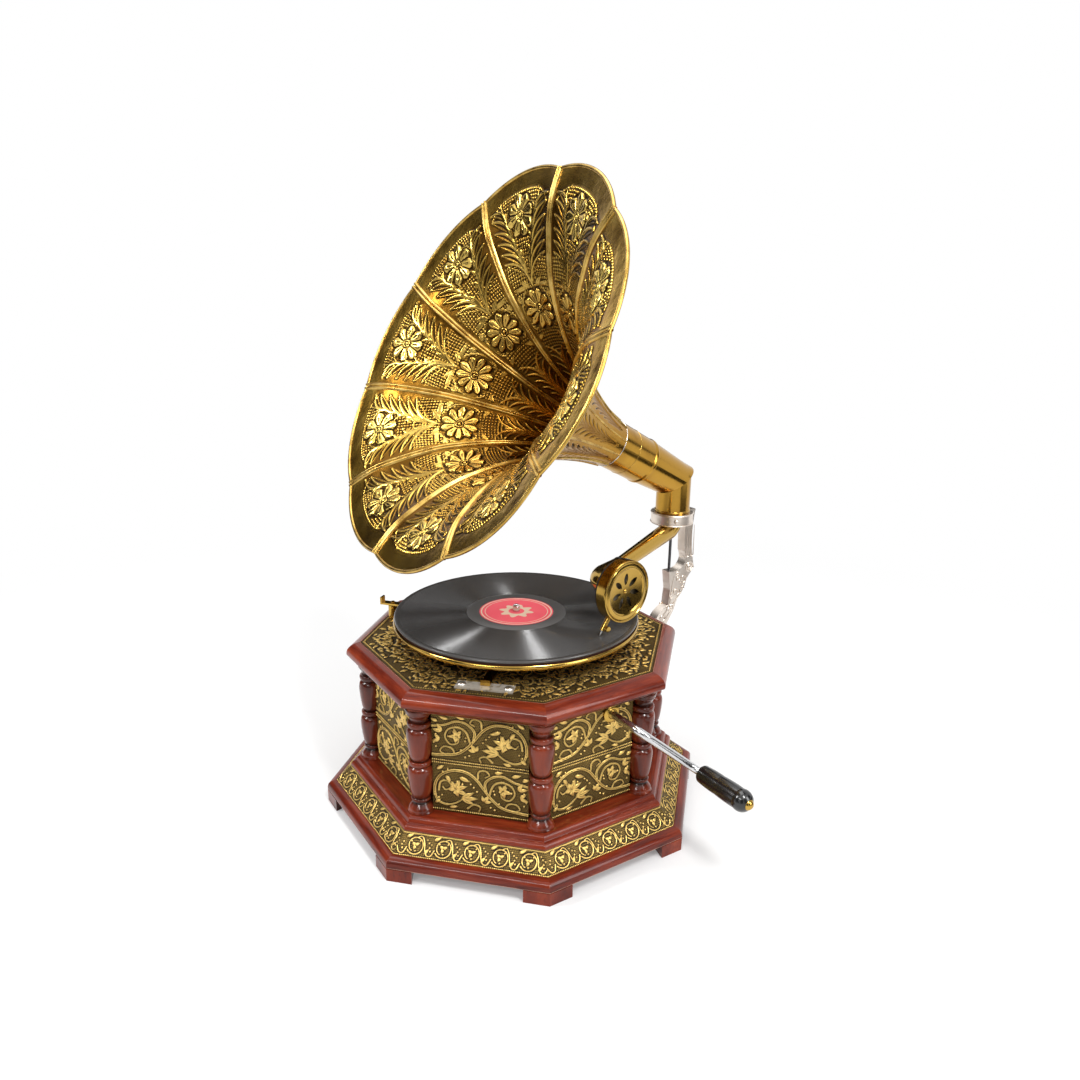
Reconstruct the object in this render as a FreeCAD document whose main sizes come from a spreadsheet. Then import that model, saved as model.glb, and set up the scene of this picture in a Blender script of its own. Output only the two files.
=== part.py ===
"""Gramophone with an octagonal wooden case, a clockwork motor and a ten-petal brass horn.

Millimetres, +Z up. The origin is on the floor under the turntable spindle, the horn looks
along -Y and the winding crank leaves the case along +X.
"""
import FreeCAD, Part
import Sketcher
import math
import os

V = FreeCAD.Vector
X_AXIS = V(1, 0, 0)
Z_AXIS = V(0, 0, 1)
ORIGIN = V(0, 0, 0)

SIDES = 8
SIDE_TURN = 360 / SIDES
HALF_SIDE = math.radians(SIDE_TURN / 2)
PETALS = 10
PETAL_TURN = 360 / PETALS

# Driving dimensions: name, millimetres or degrees, meaning
SIZES = [
    ("foot_height", 12.6, "floor to plinth board"),
    ("foot_reach", 24.5, "foot along each side from the corner"),
    ("foot_depth", 40, "foot from the corner towards the middle"),
    ("plinth_apothem", 185, "middle to flat of the plinth board"),
    ("plinth_thick", 10.4, "plinth board"),
    ("plinth_round", 7.5, "rounding of the board's upper edge"),
    ("band_low_apothem", 177, "lower edge of the sloping brass band"),
    ("band_high_apothem", 161.5, "upper edge of the sloping brass band"),
    ("band_height", 16.1, "rise of the sloping band"),
    ("sheet_thick", 1, "embossed brass sheet"),
    ("step_height", 10.9, "step moulding under the columns"),
    ("wall_apothem", 138.4, "outer face of the case boards"),
    ("wall_thick", 16.4, "case boards"),
    ("wall_height", 107, "case boards and columns"),
    ("column_circle", 150.5, "middle to column axis"),
    ("column_radius", 12.4, "widest part of a column"),
    ("fit_gap", 0.3, "gap between curved neighbours"),
    ("run_gap", 0.05, "radial gap of a shaft in its bearing"),
    ("top_apothem", 146.6, "top board and embossed top plate"),
    ("top_thick", 20.1, "top board"),
    ("rim_apothem", 160, "widest part of the top rim"),
    ("platter_radius", 125, "turntable"),
    ("platter_lift", 19.9, "top plate to upper face of the turntable"),
    ("platter_thick", 2.4, "turntable disc"),
    ("platter_rim", 4.4, "height of the turntable rim"),
    ("platter_wall", 2.5, "wall of the turntable rim"),
    ("hub_radius", 11, "turntable hub"),
    ("hub_height", 9, "turntable hub"),
    ("felt_thick", 1.9, "felt mat"),
    ("record_radius", 125, "ten inch record"),
    ("record_thick", 2.4, "record"),
    ("label_radius", 38, "paper label"),
    ("label_thick", 0.2, "paper label"),
    ("spindle_radius", 3.6, "record pin"),
    ("spindle_rise", 8, "record pin above the record"),
    ("collar_thick", 3, "spindle collar under the hub"),
    ("grommet_height", 4, "rubber between top board and motor"),
    ("grommet_radius", 6, "rubber between top board and motor"),
    ("screw_radius", 2, "motor and bracket screws"),
    ("screw_head", 4, "head radius of those screws"),
    ("screw_bite", 12, "screw length in wood"),
    ("plate_thick", 2.5, "motor plates"),
    ("motor_depth", 88, "between the motor plates"),
    ("plate_left", 28, "motor plate from the spindle towards -X"),
    ("plate_right", 84, "motor plate from the spindle towards +X"),
    ("plate_front", 52, "motor plate from the spindle towards -Y"),
    ("plate_back", 76, "motor plate from the spindle towards +Y"),
    ("plate_inset", 9, "plate edge to pillar axis"),
    ("pillar_radius", 4, "motor pillars"),
    ("gear_module", 1, "train gears"),
    ("gear_face", 5, "face width of train gears"),
    ("mesh_slack", 0.3, "extra distance between gear axes"),
    ("pivot_radius", 2.5, "gear arbors"),
    ("wheel_level", 6, "first wheel above the lower plate"),
    ("barrel_level", 16, "barrel gear above the lower plate"),
    ("governor_level", 32, "governor wheel above the lower plate"),
    ("barrel_radius", 31, "mainspring barrel"),
    ("barrel_height", 34, "mainspring barrel"),
    ("barrel_wall", 2, "mainspring barrel"),
    ("arbor_radius", 6, "winding arbor"),
    ("spring_thick", 1, "mainspring strip"),
    ("spring_pitch", 3.2, "mainspring turn to turn"),
    ("ratchet_radius", 14, "ratchet wheel"),
    ("ratchet_thick", 3, "ratchet wheel and click"),
    ("ratchet_tooth", 1.2, "ratchet tooth depth"),
    ("ratchet_level", 4, "ratchet above the barrel lid"),
    ("click_length", 25, "click from its pin to its nose"),
    ("crown_module", 1.25, "winding gears"),
    ("crown_face", 5, "face width of winding gears"),
    ("crown_thick", 4, "crown wheel disc"),
    ("crown_tooth", 1.2, "crown tooth at its pitch line"),
    ("weight_radius", 5.5, "governor weights"),
    ("weight_circle", 14, "governor axis to its weights"),
    ("weight_height", 14, "governor weights"),
    ("leaf_thick", 0.8, "governor leaf springs"),
    ("leaf_width", 4, "governor leaf springs"),
    ("governor_disc", 13, "governor friction disc radius"),
    ("governor_shaft", 2, "governor shaft radius"),
    ("crank_side", 19, "crank axis along Y"),
    ("crank_height", 143.5, "crank axis above the floor"),
    ("crank_rod_radius", 3.85, "crank rod"),
    ("crank_shaft", 186, "middle of the case to the crank arm"),
    ("crank_arm", 86, "crank throw"),
    ("crank_angle", 40, "crank arm below level"),
    ("crank_bend", 11, "bend radius of the crank rod"),
    ("handle_start", 11, "crank arm to the handle"),
    ("handle_length", 61, "crank handle"),
    ("handle_radius", 10, "crank handle"),
    ("rivet_radius", 5, "rivet at the handle's end"),
    ("rivet_height", 3, "rivet at the handle's end"),
    ("bush_radius", 9, "crank bush flange"),
    ("bush_flange", 2, "crank bush flange thickness"),
    ("bush_wall", 2, "crank bush wall"),
    ("arm_axis_y", 205, "horn and tone arm swing axis"),
    ("ring_low", 269, "lower face of the bracket ring"),
    ("ring_height", 13, "bracket ring"),
    ("ring_radius", 23.5, "bracket ring"),
    ("ledge_drop", 5.5, "ring top to the ledge that carries the horn"),
    ("ledge_thick", 2.5, "ledge in the ring"),
    ("bracket_thick", 12, "cast bracket"),
    ("shelf_height", 211.5, "top of the pivot shelf"),
    ("bracket_back", 238, "bracket's furthest reach along Y"),
    ("bracket_web", 16, "width of the bracket's upright"),
    ("pad_low", 64, "foot plate lower edge"),
    ("pad_high", 132, "foot plate upper edge"),
    ("pad_half", 22, "half width of the foot plate"),
    ("pad_thick", 7, "foot plate"),
    ("pad_screw_side", 14, "foot plate screws from the middle"),
    ("pad_screw_edge", 9, "foot plate screws from its edges"),
    ("pin_radius", 1.6, "tone arm pivot pin"),
    ("clamp_radius", 2.2, "ring clamp screw"),
    ("clamp_length", 3, "ring clamp screw head"),
    ("clamp_heading", -30, "ring clamp screw from +X"),
    ("elbow_z", 319, "mitre of the horn elbow"),
    ("elbow_radius", 19, "upright tube of the elbow"),
    ("elbow_flare", 24.2, "elbow at the horn collar"),
    ("elbow_mitre", 21, "sloping tube at the mitre"),
    ("tube_wall", 1.2, "brass tubes"),
    ("elbow_reach", 53, "mitre to the horn collar"),
    ("horn_tilt", 27.8, "horn axis above level"),
    ("horn_roll", 4.4, "first seam from the top"),
    ("collar_length", 52, "plain collar of the horn"),
    ("throat_radius", 25.6, "narrow end of the petals"),
    ("horn_depth", 190, "petals along the axis"),
    ("mouth_radius", 196, "seam ends at the rim"),
    ("petal_bulge", 6.5, "petal middle beyond its seams"),
    ("petal_thick", 1, "horn sheet"),
    ("relief_height", 1.7, "flowers and seam ribs above the sheet"),
    ("flower_rim", 41, "rim to the first flower"),
    ("flower_gap", 86, "first flower to the second"),
    ("flower_radius", 19, "pressed flowers"),
    ("seam_half", 3.2, "half width of a seam rib"),
    ("arm_turn", 21, "tone arm heading from -Y"),
    ("arm_droop", 7.6, "tone arm below level"),
    ("neck_radius", 12.5, "tone arm in the ring"),
    ("arm_bend", 14, "tone arm bend"),
    ("arm_thick", 10, "tone arm radius after the bend"),
    ("arm_tip", 7.9, "tone arm radius at the gasket"),
    ("arm_length", 99, "straight tone arm"),
    ("gasket_radius", 9, "rubber gasket"),
    ("gasket_thick", 3, "rubber gasket"),
    ("neck_straight", 27, "gooseneck before its bend"),
    ("neck_bend", 22, "gooseneck bend radius"),
    ("neck_thick", 12, "gooseneck bend tube radius"),
    ("neck_end", 10, "gooseneck at the sound box"),
    ("neck_run", 11, "gooseneck between its bend and the sound box"),
    ("box_heading", 9, "sound box axis from +X"),
    ("box_radius", 31, "sound box flange"),
    ("box_depth", 9, "sound box case"),
    ("box_wall", 2, "sound box case wall"),
    ("box_rubber", 3.5, "rubber back ring thickness"),
    ("cover_thick", 1.2, "slotted cover"),
    ("cover_lip", 3.2, "flange height of the cover"),
    ("cover_dish", 2, "dish of the cover"),
    ("slot_length", 11, "cover slots"),
    ("slot_width", 4.6, "cover slots"),
    ("slot_circle", 12.8, "middle of the slots from the centre"),
    ("mica_thick", 0.4, "diaphragm"),
    ("stylus_angle", 54, "needle below level"),
    ("holder_radius", 2.6, "needle holder"),
    ("holder_length", 13, "needle holder"),
    ("needle_radius", 0.7, "needle"),
    ("needle_gap", 0.3, "needle point above the record"),
    ("thumb_radius", 2.8, "needle screw head"),
    ("thumb_length", 4, "needle screw head"),
    ("speed_x", 94, "speed plate along X"),
    ("speed_y", -90, "speed plate along Y"),
    ("speed_length", 54, "speed plate"),
    ("speed_width", 14, "speed plate"),
    ("speed_shaft_circle", 84, "speed lever axis from the spindle"),
    ("speed_shaft", 2.5, "speed lever shaft radius"),
    ("strap_width", 9, "speed lever strap"),
    ("strap_thick", 1.5, "speed lever strap"),
    ("strap_length", 46, "speed lever strap"),
    ("pad_arm_length", 41, "governor pad arm"),
    ("brake_x", -104, "brake post along X"),
    ("brake_y", -92, "brake post along Y"),
    ("brake_post", 5, "brake post radius"),
    ("brake_pin", 2, "brake pin radius"),
    ("brake_length", 13, "brake lever outside its pin"),
    ("brake_width", 8, "brake lever"),
    ("brake_thick", 2, "brake lever"),
    ("brake_pad", 6, "brake pad"),
    ("cut_over", 5, "overrun of every cut"),
]

doc = FreeCAD.newDocument("gramophone")
sheet = doc.addObject("Spreadsheet::Sheet", "sizes")
for row, (name, number, meaning) in enumerate(SIZES, start=1):
    sheet.set("A%d" % row, name)
    sheet.set("B%d" % row, str(number))
    sheet.setAlias("B%d" % row, name)
    sheet.set("C%d" % row, meaning)
doc.recompute()


class Size:
    """A number read from the sheet, with the expression that gives it there."""

    def __init__(self, value, text):
        self.value = value
        self.text = text

    def __add__(self, other):
        other = sized(other)
        return Size(self.value + other.value, "(%s + %s)" % (self.text, other.text))

    def __sub__(self, other):
        other = sized(other)
        return Size(self.value - other.value, "(%s - %s)" % (self.text, other.text))

    def __mul__(self, other):
        other = sized(other)
        return Size(self.value * other.value, "(%s * %s)" % (self.text, other.text))

    def __truediv__(self, other):
        other = sized(other)
        return Size(self.value / other.value, "(%s / %s)" % (self.text, other.text))

    def __radd__(self, other):
        return sized(other) + self

    def __rsub__(self, other):
        return sized(other) - self

    def __rmul__(self, other):
        return sized(other) * self

    def __neg__(self):
        return sized(0) - self

    def root(self):
        """Square root."""
        return Size(math.sqrt(self.value), "sqrt(%s)" % self.text)


def sized(thing):
    """A plain number as a Size."""
    if isinstance(thing, Size):
        return thing
    return Size(float(thing), "%.9f" % thing)


class Sheet:
    """The sheet's cells by name."""

    def __getattr__(self, name):
        return Size(float(sheet.get(name)), "sizes.%s" % name)


S = Sheet()
NODES = {}


def keep(label, thing):
    """Name a finished sub-part."""
    thing.Label = label
    NODES[label] = thing
    return thing


def bind(thing, prop, size):
    """Tie one property of an object to the sheet."""
    size = sized(size)
    thing.setExpression(prop, size.text)


def place(thing, spot, rotation=None):
    """Put an object at a spot given in sheet sizes."""
    spot = [sized(part) for part in spot]
    base = V(*[part.value for part in spot])
    thing.Placement = FreeCAD.Placement(base, rotation or FreeCAD.Rotation())
    for axis, part in zip("xyz", spot):
        bind(thing, "Placement.Base.%s" % axis, part)


def settle(thing, placement):
    """Put an object in a sloping frame that the sheet's sizes were worked into before."""
    for axis in "xyz":
        thing.setExpression("Placement.Base.%s" % axis, None)
    thing.Placement = placement


def sketch_on(body, role, lift=0):
    """A sketch on one of the body's own planes, lifted along the plane's normal."""
    sketch = body.newObject("Sketcher::SketchObject", body.Name + "_sketch")
    plane = [item for item in body.Origin.OriginFeatures if item.Role == role][0]
    sketch.AttachmentSupport = [(plane, "")]
    sketch.MapMode = "FlatFace"
    lift = sized(lift)
    sketch.AttachmentOffset = FreeCAD.Placement(V(0, 0, lift.value), FreeCAD.Rotation())
    if lift.value:
        bind(sketch, "AttachmentOffset.Base.z", lift)
    return sketch


def pin_point(sketch, where, x, y):
    """Hold one end of a sketch edge at sheet coordinates."""
    for kind, size in (("DistanceX", x), ("DistanceY", y)):
        index = sketch.addConstraint(Sketcher.Constraint(kind, -1, 1, *where, size.value))
        bind(sketch, "Constraints[%d]" % index, size)


def outline(sketch, points):
    """A closed outline. A point is x, y or x, y, swell, where swell bows the next edge to its right."""
    first = sketch.GeometryCount
    count = len(points)
    spots = [(sized(point[0]), sized(point[1])) for point in points]
    for index, point in enumerate(points):
        here = spots[index]
        there = spots[(index + 1) % count]
        begin = V(here[0].value, here[1].value, 0)
        end = V(there[0].value, there[1].value, 0)
        if len(point) == 3:
            swell = sized(point[2])
            across = (end - begin).normalize()
            middle = (begin + end) / 2 + V(across.y, -across.x, 0) * swell.value
            sketch.addGeometry(Part.Arc(begin, middle, end))
        else:
            sketch.addGeometry(Part.LineSegment(begin, end))
    ends = []
    for index, point in enumerate(points):
        forward = len(point) == 2 or sized(point[2]).value > 0
        ends.append((1, 2) if forward else (2, 1))
    for index, point in enumerate(points):
        following = (index + 1) % count
        sketch.addConstraint(
            Sketcher.Constraint(
                "Coincident", first + index, ends[index][1], first + following, ends[following][0]
            )
        )
    for index, point in enumerate(points):
        pin_point(sketch, (first + index, ends[index][0]), *spots[index])
        if len(point) == 3:
            swell = sized(point[2])
            swell = swell if swell.value > 0 else -swell
            there = spots[(index + 1) % count]
            wide = there[0] - spots[index][0]
            tall = there[1] - spots[index][1]
            radius = ((wide * wide + tall * tall) / 4 + swell * swell) / (2 * swell)
            row = sketch.addConstraint(Sketcher.Constraint("Radius", first + index, radius.value))
            bind(sketch, "Constraints[%d]" % row, radius)


def circle(sketch, x, y, radius):
    """A circle in a sketch, held by sheet sizes."""
    x, y, radius = sized(x), sized(y), sized(radius)
    shape = Part.Circle(V(x.value, y.value, 0), Z_AXIS, radius.value)
    index = sketch.addGeometry(shape)
    pin_point(sketch, (index, 3), x, y)
    row = sketch.addConstraint(Sketcher.Constraint("Radius", index, radius.value))
    bind(sketch, "Constraints[%d]" % row, radius)


def new_body(label):
    """An empty body."""
    return doc.addObject("PartDesign::Body", label)


def pad(body, sketch, length, both_ways=False, reverse=False):
    """Raise a sketch into a solid."""
    feature = body.newObject("PartDesign::Pad", body.Name + "_pad")
    feature.Profile = sketch
    bind(feature, "Length", length)
    feature.Midplane = both_ways
    feature.Reversed = reverse
    return feature


def pocket(body, sketch, length, both_ways=False, reverse=False):
    """Cut a sketch out of a solid."""
    feature = body.newObject("PartDesign::Pocket", body.Name + "_pocket")
    feature.Profile = sketch
    bind(feature, "Length", length)
    feature.Midplane = both_ways
    feature.Reversed = reverse
    return feature


def board(label, loops, low, thick, holes=()):
    """A flat plate: outlines in plan, its lower face and its thickness."""
    body = new_body(label)
    sketch = sketch_on(body, "XY_Plane", low)
    for points in loops:
        outline(sketch, points)
    for hole in holes:
        circle(sketch, *hole)
    pad(body, sketch, thick)
    return body


def turned(label, points, spot=(0, 0, 0), rotation=None):
    """A turned piece: its half section as radius and height about its own upright axis."""
    body = new_body(label)
    sketch = sketch_on(body, "XZ_Plane")
    outline(sketch, points)
    feature = body.newObject("PartDesign::Revolution", label + "_turn")
    feature.Profile = sketch
    feature.ReferenceAxis = (sketch, ["V_Axis"])
    feature.Angle = 360
    place(body, spot, rotation)
    return body


def dome(radius, height):
    """Bow of a round cap whose centre lies on the axis."""
    chord = radius * radius + height * height
    ball = chord / (2 * height)
    return ball - (ball * ball - chord / 4).root()


def washer(inner, outer, low, high):
    """Half section of a plain ring, or of a disc when the inner radius is 0."""
    return [(inner, low), (outer, low), (outer, high), (inner, high)]


def octagon(apothem):
    """Corners of a regular octagon with a flat side towards -Y."""
    apothem = sized(apothem)
    points = []
    for index in range(SIDES):
        angle = math.radians(SIDE_TURN * index) + HALF_SIDE
        reach = apothem / math.cos(HALF_SIDE)
        points.append((reach * math.cos(angle), reach * math.sin(angle)))
    return points


def shaped(label, shape, placement=None):
    """A sub-part whose shape is worked out in code."""
    feature = doc.addObject("Part::Feature", label)
    feature.Shape = shape
    if placement:
        feature.Placement = placement
    return keep(label, feature)


def all_round(label, piece, count=SIDES, start=0):
    """A node of equal solids set round the case's upright axis."""
    doc.recompute()
    copies = []
    for index in range(count):
        copy = piece.Shape.copy()
        copy.rotate(ORIGIN, Z_AXIS, start + index * 360 / count)
        copies.append(copy)
    return shaped(label, Part.makeCompound(copies))


def mitred(label, profile, widest, notch=None):
    """One side of an octagonal frame: its section, mitred at both ends."""
    body = new_body(label + "_side")
    sketch = sketch_on(body, "XZ_Plane")
    outline(sketch, profile)
    far = (widest + S.cut_over) * 2
    pad(body, sketch, far, both_ways=True)
    ends = sketch_on(body, "XY_Plane")
    slope = math.tan(HALF_SIDE)
    for hand in (1, -1):
        tip = (far, far * (slope * hand))
        corner = (0, far * hand)
        points = [(0, 0), tip, corner] if hand > 0 else [(0, 0), corner, tip]
        outline(ends, points)
    pocket(body, ends, far * 2, both_ways=True)
    if notch:
        holes = sketch_on(body, "XY_Plane")
        for hand in (1, -1):
            side = notch[0] * (hand * math.sin(HALF_SIDE))
            circle(holes, notch[0] * math.cos(HALF_SIDE), side, notch[1])
        pocket(body, holes, far * 2, both_ways=True)
    return body


def heading(angle, droop=0):
    """Unit direction: degrees from +X in plan, degrees below level."""
    level = math.cos(math.radians(droop))
    plan = math.radians(angle)
    return V(level * math.cos(plan), level * math.sin(plan), -math.sin(math.radians(droop)))


def ring_wire(spot, along, radius):
    """A circle as a wire."""
    return Part.Wire(Part.makeCircle(radius, spot, along))


def skin(stations, wall):
    """A hollow tube through round sections given as spot, direction and radius."""
    outer = Part.makeLoft([ring_wire(*station) for station in stations], True)
    inner = Part.makeLoft([ring_wire(s, d, radius - wall) for s, d, radius in stations], True)
    return outer.cut(inner)




# Case: feet, plinth, sloping band, step, walls, panels, columns, top
plinth_low = S.foot_height
plinth_top = plinth_low + S.plinth_thick
band_top = plinth_top + S.band_height
step_top = band_top + S.step_height
case_top = step_top + S.wall_height
board_top = case_top + S.top_thick
deck = board_top + S.sheet_thick

plinth_corner = S.plinth_apothem / math.cos(HALF_SIDE)
side_lean = math.sin(HALF_SIDE)
side_run = math.cos(HALF_SIDE)
foot_shape = [
    (plinth_corner, 0),
    (plinth_corner - S.foot_reach * side_lean, S.foot_reach * side_run),
    (plinth_corner - S.foot_depth, 0),
    (plinth_corner - S.foot_reach * side_lean, -(S.foot_reach * side_run)),
]
foot = board("foot", [foot_shape], 0, S.foot_height)
all_round("corner_feet", foot, start=SIDE_TURN / 2)

plinth = board("plinth_board", [octagon(S.plinth_apothem)], plinth_low, S.plinth_thick)
doc.recompute()
upper_edges = []
for index, edge in enumerate(plinth.Shape.Edges, start=1):
    if min(vertex.Z for vertex in edge.Vertexes) > (plinth_low + plinth_top).value / 2:
        upper_edges.append("Edge%d" % index)
slab = plinth.Tip
nosing = plinth.newObject("PartDesign::Fillet", "plinth_nosing")
nosing.Base = (slab, upper_edges)
bind(nosing, "Radius", S.plinth_round)
keep("plinth_board", plinth)

frame_inner = S.wall_apothem - S.wall_thick
slope_run = S.band_low_apothem - S.band_high_apothem
slope_long = math.hypot(slope_run.value, S.band_height.value)
# The brass lies on the slope, so the wooden core stands back by its thickness.
sheet_run = S.sheet_thick * (slope_long / S.band_height.value)
core_low = S.band_low_apothem - sheet_run
core_high = S.band_high_apothem - sheet_run
core = mitred(
    "plinth_slope",
    [(frame_inner, plinth_top), (core_low, plinth_top), (core_high, band_top), (frame_inner, band_top)],
    S.band_low_apothem,
)
all_round("plinth_slope", core)
band = mitred(
    "plinth_band",
    [
        (core_low, plinth_top),
        (S.band_low_apothem, plinth_top),
        (S.band_high_apothem, band_top),
        (core_high, band_top),
    ],
    S.band_low_apothem,
)
all_round("plinth_band", band)

# Step section: shares of its run from wall to band and of its height
STEP_SHARES = [(1, 0), (1, 0.2), (0.84, 0.5), (0.8, 0.5), (0.76, 0.62), (0.68, 1)]
STEP_BOW_SHARES = {1: 0.12, 4: 0.1}
step_run = S.band_high_apothem - S.wall_apothem
step_profile = [(frame_inner, band_top)]
for index, (run_share, rise_share) in enumerate(STEP_SHARES):
    point = (S.wall_apothem + step_run * run_share, band_top + S.step_height * rise_share)
    if index in STEP_BOW_SHARES:
        point = point + (S.step_height * STEP_BOW_SHARES[index],)
    step_profile.append(point)
step_profile.append((frame_inner, step_top))
all_round("step_moulding", mitred("step_moulding", step_profile, S.band_high_apothem))

column_room = S.column_radius + S.fit_gap
wall_section = [
    (frame_inner, step_top),
    (S.wall_apothem, step_top),
    (S.wall_apothem, case_top),
    (frame_inner, case_top),
]
wall = mitred("case_wall", wall_section, S.wall_apothem, notch=(S.column_circle, column_room))
bushing_hole = S.crank_rod_radius + S.run_gap + S.bush_wall + S.run_gap
all_round("case_wall", wall)

panel_section = [
    (S.wall_apothem, step_top),
    (S.wall_apothem + S.sheet_thick, step_top),
    (S.wall_apothem + S.sheet_thick, case_top),
    (S.wall_apothem, case_top),
]
panel = mitred("case_panels", panel_section, S.wall_apothem, notch=(S.column_circle, column_room))
all_round("case_panels", panel)


def drill_right_side(label):
    """Open the crank's hole in the side that faces +X."""
    node = NODES[label]
    start = V(S.wall_apothem.value - S.wall_thick.value * 2, S.crank_side.value, S.crank_height.value)
    drill = Part.makeCylinder(bushing_hole.value, S.wall_thick.value * 4, start, X_AXIS)
    node.Shape = Part.makeCompound([solid.cut(drill) for solid in node.Shape.Solids])


drill_right_side("case_wall")
drill_right_side("case_panels")

# Column section: shares of its radius and height, and how far the next edge bows outwards
COLUMN_SHARES = [
    (0.98, 0.0, 0),
    (0.98, 0.035, -0.05),
    (0.62, 0.1, 0),
    (0.72, 0.105, 0.04),
    (0.72, 0.135, 0),
    (0.68, 0.14, 0.03),
    (0.97, 0.37, 0.035),
    (0.7, 0.445, 0),
    (0.86, 0.455, 0.05),
    (0.86, 0.495, 0),
    (0.68, 0.505, 0.03),
    (0.98, 0.735, 0.035),
    (0.72, 0.815, 0),
    (0.88, 0.825, 0.05),
    (0.88, 0.87, 0),
    (0.66, 0.88, -0.04),
    (1.0, 0.965, 0),
    (1.0, 1.0, 0),
]
COLUMN_BOW_SHARE = 0.3
column_points = [(0, 0)]
for radius_share, height_share, bow_share in COLUMN_SHARES:
    point = (S.column_radius * radius_share, S.wall_height * height_share)
    if bow_share:
        point = point + (S.wall_height * bow_share * COLUMN_BOW_SHARE,)
    column_points.append(point)
column_points.append((0, S.wall_height))
column = turned("column", column_points, (S.column_circle, 0, step_top))
all_round("corner_columns", column, start=SIDE_TURN / 2)

spindle_hole = S.spindle_radius + S.collar_thick
top_hole = (0, 0, spindle_hole)
speed_turn = math.atan2(S.speed_y.value, S.speed_x.value)
speed_axis = (S.speed_shaft_circle * math.cos(speed_turn), S.speed_shaft_circle * math.sin(speed_turn))
speed_hole = (speed_axis[0], speed_axis[1], S.speed_shaft + S.run_gap)
deck_holes = (top_hole, speed_hole)
keep("top_board", board("top_board", [octagon(S.top_apothem)], case_top, S.top_thick, deck_holes))
keep("top_plate", board("top_plate", [octagon(S.top_apothem)], board_top, S.sheet_thick, deck_holes))

# Rim section: shares of its reach past the top board and of its height, with the bow of the next edge
RIM_SHARES = [
    (0.35, 0, -0.08),
    (0.7, 0.28, 0),
    (0.84, 0.3, 0.13),
    (0.84, 0.82, 0),
    (0.74, 0.86, 0.06),
    (0, 1, 0),
]
rim_reach = S.rim_apothem - S.top_apothem
rim_height = deck - case_top
rim_section = [(S.top_apothem, case_top)]
for run_share, rise_share, bow_share in RIM_SHARES:
    point = (S.top_apothem + rim_reach * run_share, case_top + rim_height * rise_share)
    if bow_share:
        point = point + (rim_height * bow_share,)
    rim_section.append(point)
all_round("top_rim", mitred("top_rim", rim_section, S.rim_apothem))

# Turntable: spindle, platter, felt, record, label
platter_top = deck + S.platter_lift
felt_top = platter_top + S.felt_thick
record_top = felt_top + S.record_thick
hub_low = platter_top - S.hub_height
bore = S.spindle_radius + S.run_gap
rim_low = platter_top - S.platter_rim
disc_low = platter_top - S.platter_thick
rim_inner = S.platter_radius - S.platter_wall
RIM_ROUND_SHARE = 0.4
EDGE_ROUND_SHARE = 0.3
keep(
    "platter",
    turned(
        "platter",
        [
            (bore, hub_low),
            (S.hub_radius, hub_low),
            (S.hub_radius, disc_low),
            (rim_inner, disc_low),
            (rim_inner, rim_low),
            (S.platter_radius, rim_low, S.platter_wall * RIM_ROUND_SHARE),
            (S.platter_radius, platter_top),
            (bore, platter_top),
        ],
    ),
)
felt_edge = S.platter_radius - S.platter_wall / 2
keep("platter_felt", turned("platter_felt", washer(bore, felt_edge, platter_top, felt_top)))
keep(
    "record",
    turned(
        "record",
        [
            (bore, felt_top),
            (S.record_radius - S.record_thick / 3, felt_top, S.record_thick * EDGE_ROUND_SHARE),
            (S.record_radius - S.record_thick / 3, record_top),
            (bore, record_top),
        ],
    ),
)
label_top = record_top + S.label_thick
keep("record_label", turned("record_label", washer(bore, S.label_radius, record_top, label_top)))

motor_high = case_top - S.grommet_height
motor_low = motor_high - S.plate_thick - S.motor_depth - S.plate_thick
lower_top = motor_low + S.plate_thick
upper_low = motor_high - S.plate_thick
collar_low = hub_low - S.collar_thick
spindle_top = record_top + S.spindle_rise
tip_height = S.spindle_radius / 2
keep(
    "spindle",
    turned(
        "spindle",
        [
            (0, motor_low),
            (S.spindle_radius, motor_low),
            (S.spindle_radius, collar_low),
            (S.spindle_radius + S.collar_thick, collar_low),
            (S.spindle_radius + S.collar_thick, hub_low),
            (S.spindle_radius, hub_low),
            (S.spindle_radius, spindle_top - tip_height, dome(S.spindle_radius, tip_height)),
            (0, spindle_top),
        ],
    ),
)


# Motor: gears first, then plates, barrel, winding work and governor
PINION_TEETH = 12
WHEEL_TEETH = 60
BARREL_TEETH = 72
BARREL_REACH_SHARE = 0.84
CROWN_TEETH = 36
PRESSURE_ANGLE = math.radians(20)
ADDENDUM_SHARE = 1.0
DEDENDUM_SHARE = 1.25
TOOTH_SLACK_SHARE = 0.06


def gear_face(teeth, module, turn):
    """Involute gear outline as a face, with one tooth's middle at the given angle."""
    pitch_radius = module * teeth / 2
    base = pitch_radius * math.cos(PRESSURE_ANGLE)
    root = pitch_radius - module * DEDENDUM_SHARE
    tip = pitch_radius + module * ADDENDUM_SHARE
    half_pitch = math.pi / (2 * teeth) - TOOTH_SLACK_SHARE * math.pi / teeth
    involute_at_pitch = math.tan(PRESSURE_ANGLE) - PRESSURE_ANGLE

    def half_angle(radius):
        lean = math.acos(min(1, base / max(radius, base)))
        return half_pitch + involute_at_pitch - (math.tan(lean) - lean)

    radii = [root, max(base, root), pitch_radius, (pitch_radius + tip) / 2, tip]
    if base <= root:
        radii = [root, pitch_radius, (pitch_radius + tip) / 2, tip]
    points = []
    for tooth in range(teeth):
        middle = math.radians(turn) + 2 * math.pi * tooth / teeth
        for hand in (-1, 1):
            for radius in radii if hand < 0 else reversed(radii):
                angle = middle + hand * half_angle(radius)
                points.append(V(radius * math.cos(angle), radius * math.sin(angle), 0))
    return Part.Face(Part.makePolygon(points + points[:1]))


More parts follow.
